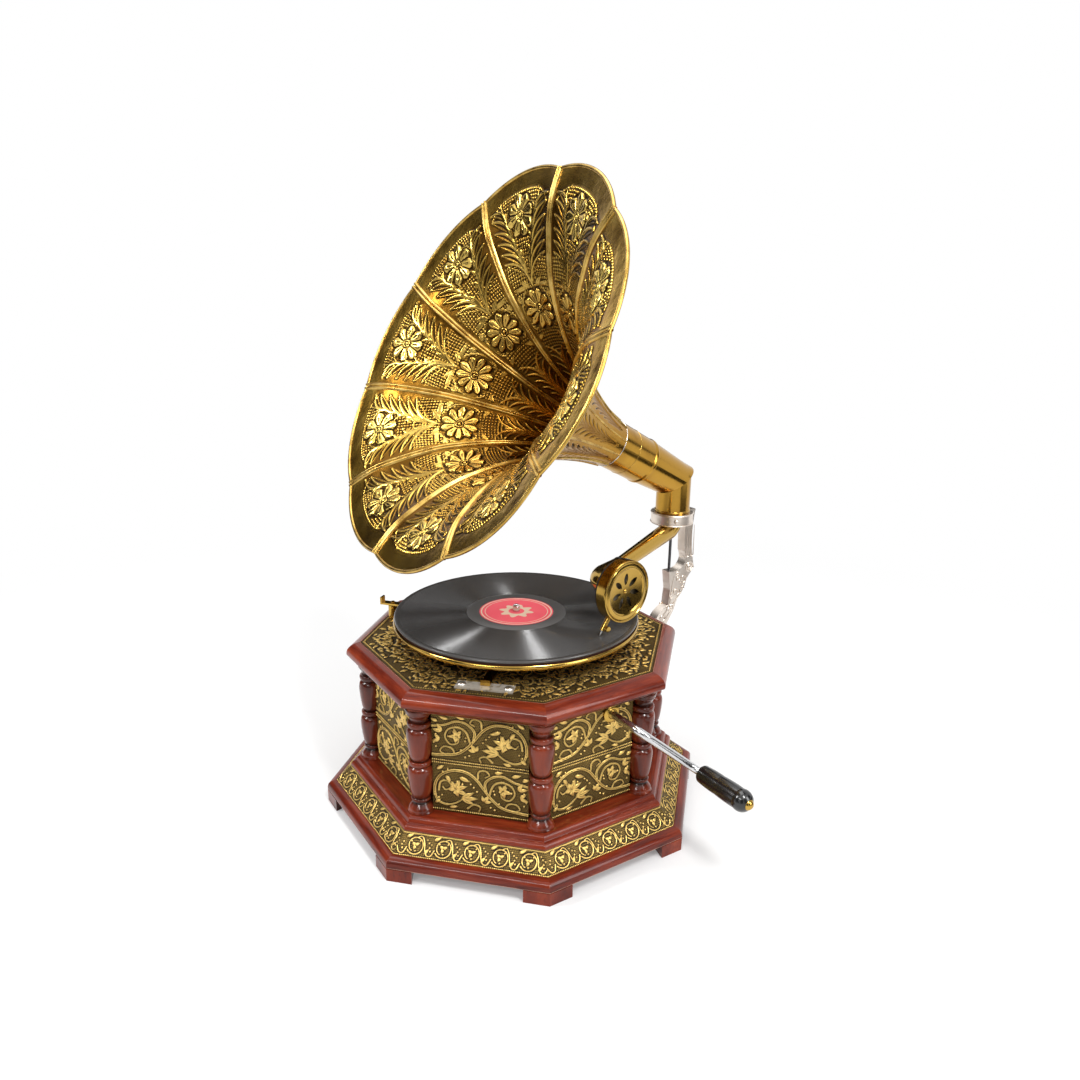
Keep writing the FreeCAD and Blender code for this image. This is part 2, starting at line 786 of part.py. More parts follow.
def gear(teeth, module, turn, spot, width):
    """A spur gear standing on a spot, about an upright axis."""
    solid = gear_face(teeth, module, turn).extrude(V(0, 0, width))
    solid.translate(spot)
    return solid


def bearing(radius, x, y):
    """A bearing hole in a motor plate."""
    return (x, y, radius + S.run_gap)


module = S.gear_module
first_reach = module * ((PINION_TEETH + WHEEL_TEETH) / 2) + S.mesh_slack
second_reach = module * ((PINION_TEETH + BARREL_TEETH) / 2) + S.mesh_slack
barrel_along = (first_reach + second_reach) * BARREL_REACH_SHARE
barrel_spot = (barrel_along, S.crank_side)
barrel_far = math.hypot(barrel_spot[0].value, barrel_spot[1].value)
barrel_turn = math.atan2(barrel_spot[1].value, barrel_spot[0].value)
# The intermediate arbor stands where both gear distances meet.
along = (first_reach.value**2 - second_reach.value**2 + barrel_far**2) / (2 * barrel_far)
wheel_turn = barrel_turn + math.acos(along / first_reach.value)
wheel_spot = (first_reach * math.cos(wheel_turn), first_reach * math.sin(wheel_turn))
governor_spot = (first_reach * math.cos(speed_turn), first_reach * math.sin(speed_turn))

plate_holes = [
    bearing(S.spindle_radius, 0, 0),
    bearing(S.pivot_radius, *wheel_spot),
    bearing(S.arbor_radius, *barrel_spot),
    bearing(S.governor_shaft, *governor_spot),
]
plate_shape = [
    (-S.plate_left, -S.plate_front),
    (S.plate_right, -S.plate_front),
    (S.plate_right, S.plate_back),
    (-S.plate_left, S.plate_back),
]
pillar_spots = [
    (S.plate_inset - S.plate_left, S.plate_inset - S.plate_front),
    (S.plate_right - S.plate_inset, S.plate_inset - S.plate_front),
    (S.plate_right - S.plate_inset, S.plate_back - S.plate_inset),
    (S.plate_inset - S.plate_left, S.plate_back - S.plate_inset),
]
screw_holes = [(x, y, S.screw_radius + S.run_gap) for x, y in pillar_spots]
all_holes = plate_holes + screw_holes
keep("motor_plate", board("motor_plate", [plate_shape], upper_low, S.plate_thick, all_holes))
keep("motor_lower_plate", board("motor_lower_plate", [plate_shape], motor_low, S.plate_thick, all_holes))


def at_each(label, piece, spots):
    """A node of equal upright solids standing on the given spots."""
    doc.recompute()
    copies = []
    for x, y in spots:
        copy = piece.Shape.copy()
        copy.translate(V(sized(x).value, sized(y).value, 0))
        copies.append(copy)
    return shaped(label, Part.makeCompound(copies))


screw_clear = S.screw_radius + S.run_gap
pillar = turned("pillar", washer(screw_clear, S.pillar_radius, lower_top, upper_low))
at_each("motor_pillars", pillar, pillar_spots)
grommet = turned("grommet", washer(screw_clear, S.grommet_radius, motor_high, case_top))
at_each("motor_grommets", grommet, pillar_spots)
head_low = motor_low - S.screw_radius
motor_screw = [
    (0, head_low),
    (S.screw_head, head_low),
    (S.screw_head, motor_low),
    (S.screw_radius, motor_low),
    (S.screw_radius, case_top + S.screw_bite),
    (0, case_top + S.screw_bite),
]
at_each("motor_screws", turned("motor_screw", motor_screw), pillar_spots)
screw_drill = [(x, y, S.screw_radius) for x, y in pillar_spots]
pilot = sketch_on(NODES["top_board"], "XY_Plane", case_top)
for hole in screw_drill:
    circle(pilot, *hole)
pocket(NODES["top_board"], pilot, S.screw_bite, reverse=True)


def spot_at(spot, level):
    """A plan spot at a height, in numbers."""
    return V(sized(spot[0]).value, sized(spot[1]).value, sized(level).value)


def upright(spot, low, high, radius):
    """An upright cylinder between two heights."""
    foot_spot = spot_at(spot, low)
    return Part.makeCylinder(sized(radius).value, sized(high).value - sized(low).value, foot_spot)


def rounded(angle):
    """Radians to degrees."""
    return math.degrees(angle)


wheel_low = lower_top + S.wheel_level
barrel_low = lower_top + S.barrel_level
governor_low = lower_top + S.governor_level
face = S.gear_face.value
slack = S.fit_gap.value
pinion_half = 180 / PINION_TEETH
wheel_half = 180 / WHEEL_TEETH

# Spindle gears: a pinion driven by the intermediate wheel, and a wheel that drives the governor
spindle_pinion = gear(PINION_TEETH, module.value, rounded(wheel_turn), spot_at((0, 0), wheel_low), face)
spindle_wheel = gear(WHEEL_TEETH, module.value, rounded(speed_turn), spot_at((0, 0), governor_low), face)
spindle_bore = upright((0, 0), motor_low, motor_high, S.spindle_radius + S.run_gap)
shaped("spindle_pinion", spindle_pinion.cut(spindle_bore))
shaped("spindle_wheel", spindle_wheel.cut(spindle_bore))

wheel_start = rounded(wheel_turn) + 180 + wheel_half
wheel = gear(WHEEL_TEETH, module.value, wheel_start, spot_at(wheel_spot, wheel_low), face)
barrel_way = math.atan2(
    wheel_spot[1].value - barrel_spot[1].value, wheel_spot[0].value - barrel_spot[0].value
)
pinion_turn = rounded(barrel_way) + 180 + pinion_half
pinion = gear(PINION_TEETH, module.value, pinion_turn, spot_at(wheel_spot, barrel_low), face)
wheel_arbor = upright(wheel_spot, motor_low, motor_high, S.pivot_radius)
NECK_SHARE = 1.6
wheel_neck = upright(wheel_spot, wheel_low, barrel_low + S.gear_face, S.pivot_radius * NECK_SHARE)
shaped("intermediate_gear", wheel.fuse([pinion, wheel_arbor, wheel_neck]).removeSplitter())

# Barrel: a toothed flange under a drum that turns on the winding arbor
barrel_gear = gear(BARREL_TEETH, module.value, rounded(barrel_way), spot_at(barrel_spot, barrel_low), face)
drum_top = barrel_low + S.gear_face + S.barrel_height
drum = upright(barrel_spot, barrel_low, drum_top, S.barrel_radius)
drum_inner = S.barrel_radius - S.barrel_wall
hollow = upright(barrel_spot, barrel_low + S.gear_face, drum_top - S.barrel_wall, drum_inner)
arbor_hole = upright(barrel_spot, motor_low, motor_high, S.arbor_radius + S.run_gap)
shaped("spring_barrel", barrel_gear.fuse(drum).cut(hollow).cut(arbor_hole).removeSplitter())

SPRING_HALF_TURNS = 12
spring_outer = S.barrel_radius - S.barrel_wall - S.fit_gap


def spiral(start):
    """Half circles that wind inwards from a radius, as edges."""
    edges = []
    radius = start
    middle = 0
    step = S.spring_pitch.value / 2
    for half in range(SPRING_HALF_TURNS):
        hand = 1 if half % 2 == 0 else -1
        begin = V(middle + hand * radius, 0, 0)
        end = V(middle - hand * radius, 0, 0)
        edges.append(Part.Arc(begin, V(middle, hand * radius, 0), end).toShape())
        middle = middle - hand * step / 2
        radius = radius - step / 2
    return edges


outer_edges = spiral(spring_outer.value)
inner_edges = spiral((spring_outer - S.spring_thick).value)
first_cap = Part.makeLine(outer_edges[0].Vertexes[0].Point, inner_edges[0].Vertexes[0].Point)
last_cap = Part.makeLine(outer_edges[-1].Vertexes[-1].Point, inner_edges[-1].Vertexes[-1].Point)
strip = Part.Face(Part.Wire(Part.__sortEdges__(outer_edges + [last_cap] + inner_edges + [first_cap])))
spring_low = barrel_low + S.gear_face + S.fit_gap
spring_high = drum_top - S.barrel_wall - S.fit_gap
mainspring = strip.extrude(V(0, 0, (spring_high - spring_low).value))
mainspring.translate(spot_at(barrel_spot, spring_low))
shaped("mainspring", mainspring)

crown_pitch = S.crown_module * (CROWN_TEETH / 2)
pinion_pitch = S.crown_module * (PINION_TEETH / 2)
crown_line = S.crank_height - pinion_pitch
crown_floor = crown_line - S.crown_module * DEDENDUM_SHARE
crown_peak = crown_line + S.crown_module * ADDENDUM_SHARE - S.fit_gap
crown_low = crown_floor - S.crown_thick
shaped("barrel_arbor", upright(barrel_spot, motor_low, crown_floor, S.arbor_radius))
arbor_tail = upright(barrel_spot, motor_low, motor_high, S.arbor_radius + S.run_gap)
crown_outer = crown_pitch + S.crown_face / 2
crown_inner = crown_pitch - S.crown_face / 2
crown = upright(barrel_spot, crown_low, crown_floor, crown_outer).cut(arbor_tail)
lean = math.tan(PRESSURE_ANGLE)
foot_half = S.crown_tooth.value / 2 + (crown_line - crown_floor).value * lean
peak_half = S.crown_tooth.value / 2 - (crown_peak - crown_line).value * lean
tooth_section = Part.makePolygon(
    [
        V(crown_inner.value, -foot_half, crown_floor.value - slack),
        V(crown_inner.value, foot_half, crown_floor.value - slack),
        V(crown_inner.value, peak_half, crown_peak.value),
        V(crown_inner.value, -peak_half, crown_peak.value),
        V(crown_inner.value, -foot_half, crown_floor.value - slack),
    ]
)
crown_tooth = Part.Face(tooth_section).extrude(V(S.crown_face.value - slack, 0, 0))
teeth = []
for index in range(CROWN_TEETH):
    tooth = crown_tooth.copy()
    tooth.rotate(ORIGIN, Z_AXIS, index * 360 / CROWN_TEETH)
    tooth.translate(spot_at(barrel_spot, 0))
    teeth.append(tooth)
shaped("crown_wheel", crown.fuse(teeth).removeSplitter())

ratchet_low = drum_top + S.ratchet_level
ratchet_points = []
for index in range(CROWN_TEETH):
    for radius, share in ((S.ratchet_radius, 0), (S.ratchet_radius - S.ratchet_tooth, 0.1)):
        angle = 2 * math.pi * (index + share) / CROWN_TEETH
        ratchet_points.append(V(radius.value * math.cos(angle), radius.value * math.sin(angle), 0))
ratchet = Part.Face(Part.makePolygon(ratchet_points + ratchet_points[:1]))
ratchet = ratchet.extrude(V(0, 0, S.ratchet_thick.value))
ratchet.translate(spot_at(barrel_spot, ratchet_low))
shaped("ratchet_wheel", ratchet.cut(arbor_tail))

# The click hangs on a pin under the upper plate, with its nose just off the ratchet.
click_x = barrel_along - S.click_length
click_y = S.crank_side + S.ratchet_radius + S.fit_gap + S.pillar_radius
click_spot = (click_x, click_y)
click_eye = upright(click_spot, ratchet_low, upper_low - S.fit_gap, S.pillar_radius)
nose_y = S.crank_side + S.ratchet_radius + S.fit_gap
click_bar = Part.makeBox(
    S.click_length.value,
    S.pillar_radius.value,
    S.ratchet_thick.value,
    spot_at((click_x, nose_y), ratchet_low),
)
click_pin_hole = upright(click_spot, motor_low, motor_high, S.screw_radius + S.run_gap)
shaped("click", click_eye.fuse(click_bar).cut(click_pin_hole).removeSplitter())
shaped("click_pin", upright(click_spot, ratchet_low, upper_low, S.screw_radius))

# Governor: shaft with its pinion, three weights on leaf springs, and a friction disc
governor_turn = rounded(speed_turn) + 180 + pinion_half
governor_pinion = gear(PINION_TEETH, module.value, governor_turn, spot_at(governor_spot, governor_low), face)
governor_rod = upright(governor_spot, motor_low, motor_high, S.governor_shaft)
leaf_low = governor_low + S.gear_face + S.leaf_width
leaf_high = upper_low - S.leaf_width * 2
collar_radius = S.governor_shaft + S.leaf_width / 2
disc = upright(governor_spot, leaf_low - S.leaf_width / 2, leaf_low, S.governor_disc)
shaped("governor_shaft", governor_pinion.fuse(governor_rod).removeSplitter())
governor_bore = upright(governor_spot, motor_low, motor_high, S.governor_shaft + S.run_gap)
low_collar = upright(governor_spot, leaf_low - S.leaf_width / 2, leaf_low + S.leaf_width, collar_radius)
high_collar = upright(governor_spot, leaf_high - S.leaf_width, leaf_high, collar_radius)
shaped("governor_disc", disc.fuse([low_collar, high_collar]).cut(governor_bore).removeSplitter())
GOVERNOR_WEIGHTS = 3
weights = []
leaf_middle = (leaf_low + S.leaf_width + leaf_high - S.leaf_width) / 2
for index in range(GOVERNOR_WEIGHTS):
    spread = S.weight_circle.value - S.weight_radius.value
    near = collar_radius.value
    low = (leaf_low + S.fit_gap).value
    high = (leaf_high - S.fit_gap).value
    bow = [V(near, 0, low), V(spread, 0, leaf_middle.value), V(near, 0, high)]
    outer_bow = [point + V(S.leaf_thick.value, 0, 0) for point in bow]
    bow_face = Part.Face(
        Part.Wire(
            [
                Part.Arc(*bow).toShape(),
                Part.makeLine(bow[2], outer_bow[2]),
                Part.Arc(*reversed(outer_bow)).toShape(),
                Part.makeLine(outer_bow[0], bow[0]),
            ]
        )
    )
    leaf = bow_face.extrude(V(0, S.leaf_width.value, 0))
    leaf.translate(V(0, -S.leaf_width.value / 2, 0))
    ball_low = V(S.weight_circle.value, 0, leaf_middle.value - S.weight_height.value / 2)
    ball = Part.makeCylinder(S.weight_radius.value, S.weight_height.value, ball_low)
    piece = leaf.fuse(ball)
    piece.rotate(ORIGIN, Z_AXIS, index * 360 / GOVERNOR_WEIGHTS)
    piece.translate(spot_at(governor_spot, 0))
    weights.append(piece)
shaped("governor_weights", Part.makeCompound(weights))

# Crank: bush in the wall, bent rod with its pinion, turning handle and rivet
ALONG_X = FreeCAD.Rotation(V(0, 1, 0), 90)
crank_axis = (0, S.crank_side, S.crank_height)
rod_clear = S.crank_rod_radius + S.run_gap
bush_outer = rod_clear + S.bush_wall
bush_face = S.wall_apothem + S.sheet_thick
BUSH_ROUND_SHARE = 0.2
BUSH_LIP_SHARE = 1.5
keep(
    "crank_bush",
    turned(
        "crank_bush",
        [
            (rod_clear, frame_inner),
            (bush_outer, frame_inner),
            (bush_outer, bush_face),
            (S.bush_radius, bush_face),
            (S.bush_radius, bush_face + S.bush_flange, S.bush_flange * BUSH_ROUND_SHARE),
            (rod_clear, bush_face + S.bush_flange * BUSH_LIP_SHARE),
        ],
        crank_axis,
        ALONG_X,
    ),
)
pinion_near = barrel_along + crown_inner
crank_way = math.radians(S.crank_angle.value)
arm_y = S.crank_arm * math.cos(crank_way)
arm_z = S.crank_arm * math.sin(crank_way)
handle_axis = (0, S.crank_side + arm_y, S.crank_height - arm_z)
handle_near = S.crank_shaft + S.handle_start
handle_far = handle_near + S.handle_length
rod_points = [
    V(pinion_near.value, S.crank_side.value, S.crank_height.value),
    V(S.crank_shaft.value, S.crank_side.value, S.crank_height.value),
    V(S.crank_shaft.value, handle_axis[1].value, handle_axis[2].value),
    V(handle_far.value, handle_axis[1].value, handle_axis[2].value),
]


def bent_rod(points, bend, radius):
    """A round rod along straight runs joined by quarter bends."""
    edges = []
    begin = points[0]
    for before, corner, after in zip(points, points[1:], points[2:]):
        inward = (before - corner).normalize()
        outward = (after - corner).normalize()
        start = corner + inward * bend
        finish = corner + outward * bend
        middle = corner + (inward + outward) * (bend * (1 - math.sqrt(0.5)))
        edges.append(Part.makeLine(begin, start))
        edges.append(Part.Arc(start, middle, finish).toShape())
        begin = finish
    edges.append(Part.makeLine(begin, points[-1]))
    section = ring_wire(points[0], points[1] - points[0], radius)
    return Part.Wire(edges).makePipeShell([section], True, True)


shaped("crank_rod", bent_rod(rod_points, S.crank_bend.value, S.crank_rod_radius.value))
crank_pinion = gear_face(PINION_TEETH, S.crown_module.value, pinion_half).extrude(V(0, 0, S.crown_face.value))
crank_bore = Part.makeCylinder(rod_clear.value, S.crown_face.value)
shaped(
    "winding_pinion",
    crank_pinion.cut(crank_bore),
    FreeCAD.Placement(rod_points[0], ALONG_X),
)
HANDLE_SHARES = [(0.7, 0.0, 0.01), (0.88, 0.05, 0.006), (0.96, 0.4, 0.006), (1.0, 0.8, 0.04), (0.5, 1.0, 0)]
handle_points = [(rod_clear + S.fit_gap, handle_near)]
for radius_share, length_share, bow_share in HANDLE_SHARES:
    point = (S.handle_radius * radius_share, handle_near + S.handle_length * length_share)
    if bow_share:
        point = point + (S.handle_length * bow_share,)
    handle_points.append(point)
handle_points.append((rod_clear + S.fit_gap, handle_far))
keep("crank_handle", turned("crank_handle", handle_points, handle_axis, ALONG_X))
rivet_low = handle_far + S.fit_gap
keep(
    "handle_rivet",
    turned(
        "handle_rivet",
        [
            (0, handle_far),
            (S.crank_rod_radius, handle_far),
            (S.crank_rod_radius, rivet_low),
            (S.rivet_radius, rivet_low, dome(S.rivet_radius, S.rivet_height)),
            (0, rivet_low + S.rivet_height),
        ],
        handle_axis,
        ALONG_X,
    ),
)

# Bracket: a flat casting behind the case with a ring for the horn and a shelf for the arm's pin
ring_top = S.ring_low + S.ring_height
ledge_top = ring_top - S.ledge_drop
ledge_low = ledge_top - S.ledge_thick
back_face = S.wall_apothem + S.sheet_thick
web_inner = S.bracket_back - S.bracket_web
upright_run = ring_top - S.shelf_height
leg_run = S.shelf_height - S.pad_high
pad_face = back_face + S.pad_thick
shelf_front = S.arm_axis_y - S.pin_radius * 3
# Casting outline in Y and Z, from the ring down the back edge and up the inner edge. A bow share is of
# the height of the part of the casting that the edge belongs to.
LEG_SHARES = {"calf": (0.7, 0.6), "ankle": (0.4, 0.72), "shin": (0.6, 0.52), "knee": (0.62, 0.28)}
BOW_SHARES = {"back": 0.06, "hip": 0.04, "calf": -0.05, "heel": 0.12, "ankle": -0.03, "opening": 0.12}
RING_BACK_SHARE = 0.6
NARROW_SHARE = 0.2
LEAN_SHARE = 0.1
TOE_SHARE = 0.3
OPENING_SHARE = 0.3
leg_out = S.bracket_back - pad_face
leg = {}
for name, (out, down) in LEG_SHARES.items():
    leg[name] = (pad_face + leg_out * out, S.shelf_height - leg_run * down)
ring_back = S.arm_axis_y + S.ring_radius * RING_BACK_SHARE
toe_height = S.pad_low + (S.pad_high - S.pad_low) * TOE_SHARE
casting = [
    (ring_back, ring_top),
    (S.bracket_back - S.bracket_web * NARROW_SHARE, ring_top, upright_run * BOW_SHARES["back"]),
    (S.bracket_back, S.shelf_height, leg_run * BOW_SHARES["hip"]),
    leg["calf"] + (leg_run * BOW_SHARES["calf"],),
    (pad_face, toe_height),
    (back_face, toe_height),
    (back_face, S.pad_high),
    (pad_face, S.pad_high, leg_run * BOW_SHARES["heel"]),
    leg["ankle"] + (leg_run * BOW_SHARES["ankle"],),
    leg["shin"],
    leg["knee"],
    (shelf_front, S.shelf_height),
    (S.arm_axis_y + S.pin_radius * 2, S.shelf_height, upright_run * BOW_SHARES["opening"]),
    (web_inner, S.shelf_height + upright_run * OPENING_SHARE),
    (web_inner - S.bracket_web * LEAN_SHARE, S.ring_low),
    (ring_back, S.ring_low),
]
bracket = new_body("back_bracket")
web = sketch_on(bracket, "YZ_Plane")
outline(web, casting)
pad(bracket, web, S.bracket_thick, both_ways=True)
foot_plate = sketch_on(bracket, "XZ_Plane", -pad_face)
outline(
    foot_plate,
    [
        (-S.pad_half, S.pad_low),
        (S.pad_half, S.pad_low),
        (S.pad_half, S.pad_high),
        (-S.pad_half, S.pad_high),
    ],
)
pad(bracket, foot_plate, S.pad_thick)
ring = sketch_on(bracket, "XY_Plane", S.ring_low)
circle(ring, 0, S.arm_axis_y, S.ring_radius)
pad(bracket, ring, S.ring_height)
socket = sketch_on(bracket, "XY_Plane", ring_top)
circle(socket, 0, S.arm_axis_y, S.elbow_radius + S.fit_gap)
pocket(bracket, socket, S.ledge_drop)
throat = sketch_on(bracket, "XY_Plane", ring_top)
circle(throat, 0, S.arm_axis_y, S.neck_radius + S.fit_gap)
pocket(bracket, throat, S.ring_height + S.cut_over)
under = sketch_on(bracket, "XY_Plane", S.ring_low)
circle(under, 0, S.arm_axis_y, S.elbow_radius)
pocket(bracket, under, ledge_low - S.ring_low, reverse=True)
pin_hole = sketch_on(bracket, "XY_Plane", S.shelf_height)
circle(pin_hole, 0, S.arm_axis_y, S.pin_radius + S.run_gap)
pocket(bracket, pin_hole, S.screw_bite)
pad_spots = []
for hand in (-1, 1):
    for height in (S.pad_low + S.pad_screw_edge, S.pad_high - S.pad_screw_edge):
        pad_spots.append((S.pad_screw_side * hand, height))
drills = sketch_on(bracket, "XZ_Plane", -pad_face)
for x, height in pad_spots:
    circle(drills, x, height, S.screw_radius + S.run_gap)
pocket(bracket, drills, S.pad_thick + S.cut_over, both_ways=False, reverse=True)
keep("back_bracket", bracket)

ALONG_Y = FreeCAD.Rotation(X_AXIS, -90)
screw_head_far = pad_face + S.screw_radius
bracket_screw = turned(
    "bracket_screw",
    [
        (0, back_face - S.screw_bite),
        (S.screw_radius, back_face - S.screw_bite),
        (S.screw_radius, pad_face),
        (S.screw_head, pad_face, dome(S.screw_head, S.screw_radius)),
        (0, screw_head_far),
    ],
    (0, 0, 0),
    ALONG_Y,
)
doc.recompute()
bracket_screws = []
for x, height in pad_spots:
    copy = bracket_screw.Shape.copy()
    copy.translate(V(x.value, 0, height.value))
    bracket_screws.append(copy)
shaped("bracket_screws", Part.makeCompound(bracket_screws))


def drill_back_side(label, radius):
    """Open the bracket screws' holes in the side that faces +Y."""
    node = NODES[label]
    solids = node.Shape.Solids
    drill_length = S.screw_bite + S.cut_over
    for x, height in pad_spots:
        start = V(x.value, (back_face - S.screw_bite).value, height.value)
        drill = Part.makeCylinder(radius.value, drill_length.value, start, V(0, 1, 0))
        solids = [solid.cut(drill) for solid in solids]
    node.Shape = Part.makeCompound(solids)


drill_back_side("case_wall", S.screw_radius)
drill_back_side("case_panels", S.screw_radius + S.run_gap)

clamp_height = (S.ring_low + ring_top) / 2
clamp_cap = S.clamp_radius / 3
clamp_turn = math.radians(S.clamp_heading.value)
clamp_screw = turned(
    "clamp_screw",
    [
        (0, 0),
        (S.clamp_radius, 0),
        (S.clamp_radius, S.clamp_length - clamp_cap, dome(S.clamp_radius, clamp_cap)),
        (0, S.clamp_length),
    ],
    (
        S.ring_radius * math.cos(clamp_turn),
        S.arm_axis_y + S.ring_radius * math.sin(clamp_turn),
        clamp_height,
    ),
    FreeCAD.Rotation(Z_AXIS, S.clamp_heading.value) * ALONG_X,
)
keep("clamp_screw", clamp_screw)

# Horn: mitred elbow, plain collar, ten petals
elbow_spot = V(0, S.arm_axis_y.value, S.elbow_z.value)
HORN_TURN = FreeCAD.Rotation(X_AXIS, 90 - S.horn_tilt.value)
horn_way = HORN_TURN.multVec(Z_AXIS)
horn_frame = FreeCAD.Placement(elbow_spot, HORN_TURN)


def elbow_half(wall):
    """The elbow's outside, or its bore when a wall is taken off."""
    reach = S.elbow_reach.value
    sloping = Part.makeCone(
        S.elbow_mitre.value - wall, S.elbow_flare.value - wall, reach, ORIGIN, Z_AXIS
    )
    back = Part.makeCylinder(S.elbow_mitre.value - wall, reach, V(0, 0, -reach), Z_AXIS)
    sloping = sloping.fuse(back).removeSplitter()
    sloping.Placement = horn_frame
    foot_z = (ledge_top + S.fit_gap).value
    tall = S.elbow_z.value - foot_z + reach
    standing = Part.makeCylinder(S.elbow_radius.value - wall, tall, V(0, S.arm_axis_y.value, foot_z))
    across = (Z_AXIS + horn_way).normalize()
    room = reach * 4
    half_space = Part.makeBox(room, room, room, V(-room / 2, -room / 2, 0))
    half_space.Placement = FreeCAD.Placement(elbow_spot, FreeCAD.Rotation(Z_AXIS, across))
    return sloping.common(half_space).fuse(standing.cut(half_space)).removeSplitter()


elbow_solid = elbow_half(0).cut(elbow_half(S.tube_wall.value))
shaped("elbow", elbow_solid)

collar_near = S.elbow_reach + S.fit_gap
collar_far = S.elbow_reach + S.collar_length
COLLAR_BEAD_SHARE = 0.7
BEAD_ROUND_SHARE = 0.5
BEAD_END_SHARE = 0.08
BEAD_FOOT_SHARE = 0.1
NECK_STEP_SHARE = 0.4
collar_bead = S.tube_wall * COLLAR_BEAD_SHARE
throat_inner = S.throat_radius - S.tube_wall
keep(
    "horn_collar",
    turned(
        "horn_collar",
        [
            (S.elbow_flare - S.tube_wall, collar_near),
            (S.elbow_flare + collar_bead, collar_near, collar_bead * BEAD_ROUND_SHARE),
            (S.elbow_flare + collar_bead, collar_near + S.collar_length * BEAD_END_SHARE),
            (S.elbow_flare + S.tube_wall * NECK_STEP_SHARE, collar_near + S.collar_length * BEAD_FOOT_SHARE),
            (S.throat_radius, collar_far),
            (throat_inner, collar_far),
        ],
    ),
)
settle(NODES["horn_collar"], horn_frame)

# Petal section along a seam: shares of the depth back from the rim and of the way out to the mouth
PETAL_SHARES = [
    (1.0, 0.0),
    (0.88, 0.027),
    (0.76, 0.07),
    (0.62, 0.137),
    (0.47, 0.235),
    (0.36, 0.331),
    (0.21, 0.496),
    (0.11, 0.66),
    (0.045, 0.795),
    (0.0, 1.0),
]
PETAL_BULGE_SHARES = [0, 0.02, 0.05, 0.1, 0.17, 0.25, 0.42, 0.62, 0.8, 1.0]
flare = S.mouth_radius - S.throat_radius
mouth_at = collar_far + S.horn_depth


def petal_face(bulge_share):
    """Points of the sheet's inner face from the throat to the rim, in the plane of X and Z."""
    points = []
    for (depth, out), bulge in zip(PETAL_SHARES, PETAL_BULGE_SHARES):
        radius = S.throat_radius + flare * out + S.petal_bulge * (bulge * bulge_share)
        height = mouth_at - S.horn_depth * depth
        points.append(V((radius - S.petal_thick).value, 0, height.value))
    return points


def seam_section(turn, bulge_share, rise, depth):
    """Closed section through the horn's axis, from a rise inside the face to a depth behind it."""
    face = petal_face(bulge_share)
    inner = []
    outer = []
    for index, point in enumerate(face):
        before = face[max(index - 1, 0)]
        after = face[min(index + 1, len(face) - 1)]
        run = (after - before).normalize()
        # The throat end is square, so that it sits flat on the collar.
        way = V(run.z, 0, -run.x) if index else V(1, 0, 0)
        inner.append(point - way * rise)
        outer.append(point + way * depth)
    curves = []
    for points in (inner, list(reversed(outer))):
        curve = Part.BSplineCurve()
        curve.interpolate(points)
        curves.append(curve.toShape())
    wire = Part.Wire(
        [curves[0], Part.makeLine(inner[-1], outer[-1]), curves[1], Part.makeLine(outer[0], inner[0])]
    )
    wire.rotate(ORIGIN, Z_AXIS, turn)
    return wire


def petal_loft(rise, depth):
    """One petal's width of sheet, bulged in its middle."""
    half = PETAL_TURN / 2
    ends = [(-half, 0), (0, 1), (half, 0)]
    return Part.makeLoft([seam_section(turn, bulge, rise, depth) for turn, bulge in ends], True)


half_petal = PETAL_TURN / 2
petal = petal_loft(0, S.petal_thick.value)
# The main pressed work: two flower bosses on the middle line and a folded rib along each seam
raised = petal_loft(S.relief_height.value, S.petal_thick.value / 2)
middle_curve = Part.BSplineCurve()
middle_curve.interpolate(petal_face(1))
middle_line = middle_curve.toShape()
ornaments = []
for from_rim in (S.flower_rim, S.flower_rim + S.flower_gap):
    flower_at = middle_line.getParameterByLength(middle_line.Length - from_rim.value)
    tangent = middle_line.tangentAt(flower_at)
    way = V(-tangent.z, 0, tangent.x)
    foot = middle_line.valueAt(flower_at) - way * S.flower_radius.value
    boss = Part.makeCylinder(S.flower_radius.value, 2 * S.flower_radius.value, foot, way)
    ornaments.append(raised.common(boss))
for turn in (-half_petal, half_petal):
    reach = S.mouth_radius + S.petal_bulge
    corner = V(0, -S.seam_half.value, collar_far.value)
    rib = Part.makeBox(reach.value, 2 * S.seam_half.value, reach.value, corner)
    rib.rotate(ORIGIN, Z_AXIS, turn)
    ornaments.append(raised.common(rib))
petal = petal.fuse(ornaments).removeSplitter()
petals = []
for index in range(PETALS):
    copy = petal.copy()
    # The first seam stands a little off the top of the mouth, which is the frame's +Y.
    copy.rotate(ORIGIN, Z_AXIS, 90 - S.horn_roll.value + half_petal + index * PETAL_TURN)
    petals.append(copy)
shaped("horn_petals", Part.makeCompound(petals), horn_frame)

# Tone arm: bent tube from the ring to the gasket, gooseneck, sound box, needle
arm_plan = S.arm_turn.value - 90
arm_level = heading(arm_plan)
arm_way = heading(arm_plan, S.arm_droop.value)
bend_start = V(0, S.arm_axis_y.value, (ledge_low - S.fit_gap).value)
bend_turn = 90 - S.arm_droop.value
BEND_STEPS = 6
stations = []
neck_rise = S.ledge_thick + S.fit_gap
neck_top = bend_start + V(0, 0, neck_rise.value)
stations.append((neck_top, V(0, 0, -1), S.neck_radius.value))
for step in range(BEND_STEPS + 1):
    angle = math.radians(bend_turn * step / BEND_STEPS)
    spot = bend_start + arm_level * (S.arm_bend.value * (1 - math.cos(angle)))
    spot = spot - Z_AXIS * (S.arm_bend.value * math.sin(angle))
    way = arm_level * math.sin(angle) - Z_AXIS * math.cos(angle)
    radius = S.neck_radius + (S.arm_thick - S.neck_radius) * (step / BEND_STEPS)
    stations.append((spot, way, radius.value))
bend_end = stations[-1][0]
arm_end = bend_end + arm_way * S.arm_length.value
neck_tube = Part.makeCylinder(S.neck_radius.value, neck_rise.value, bend_start)
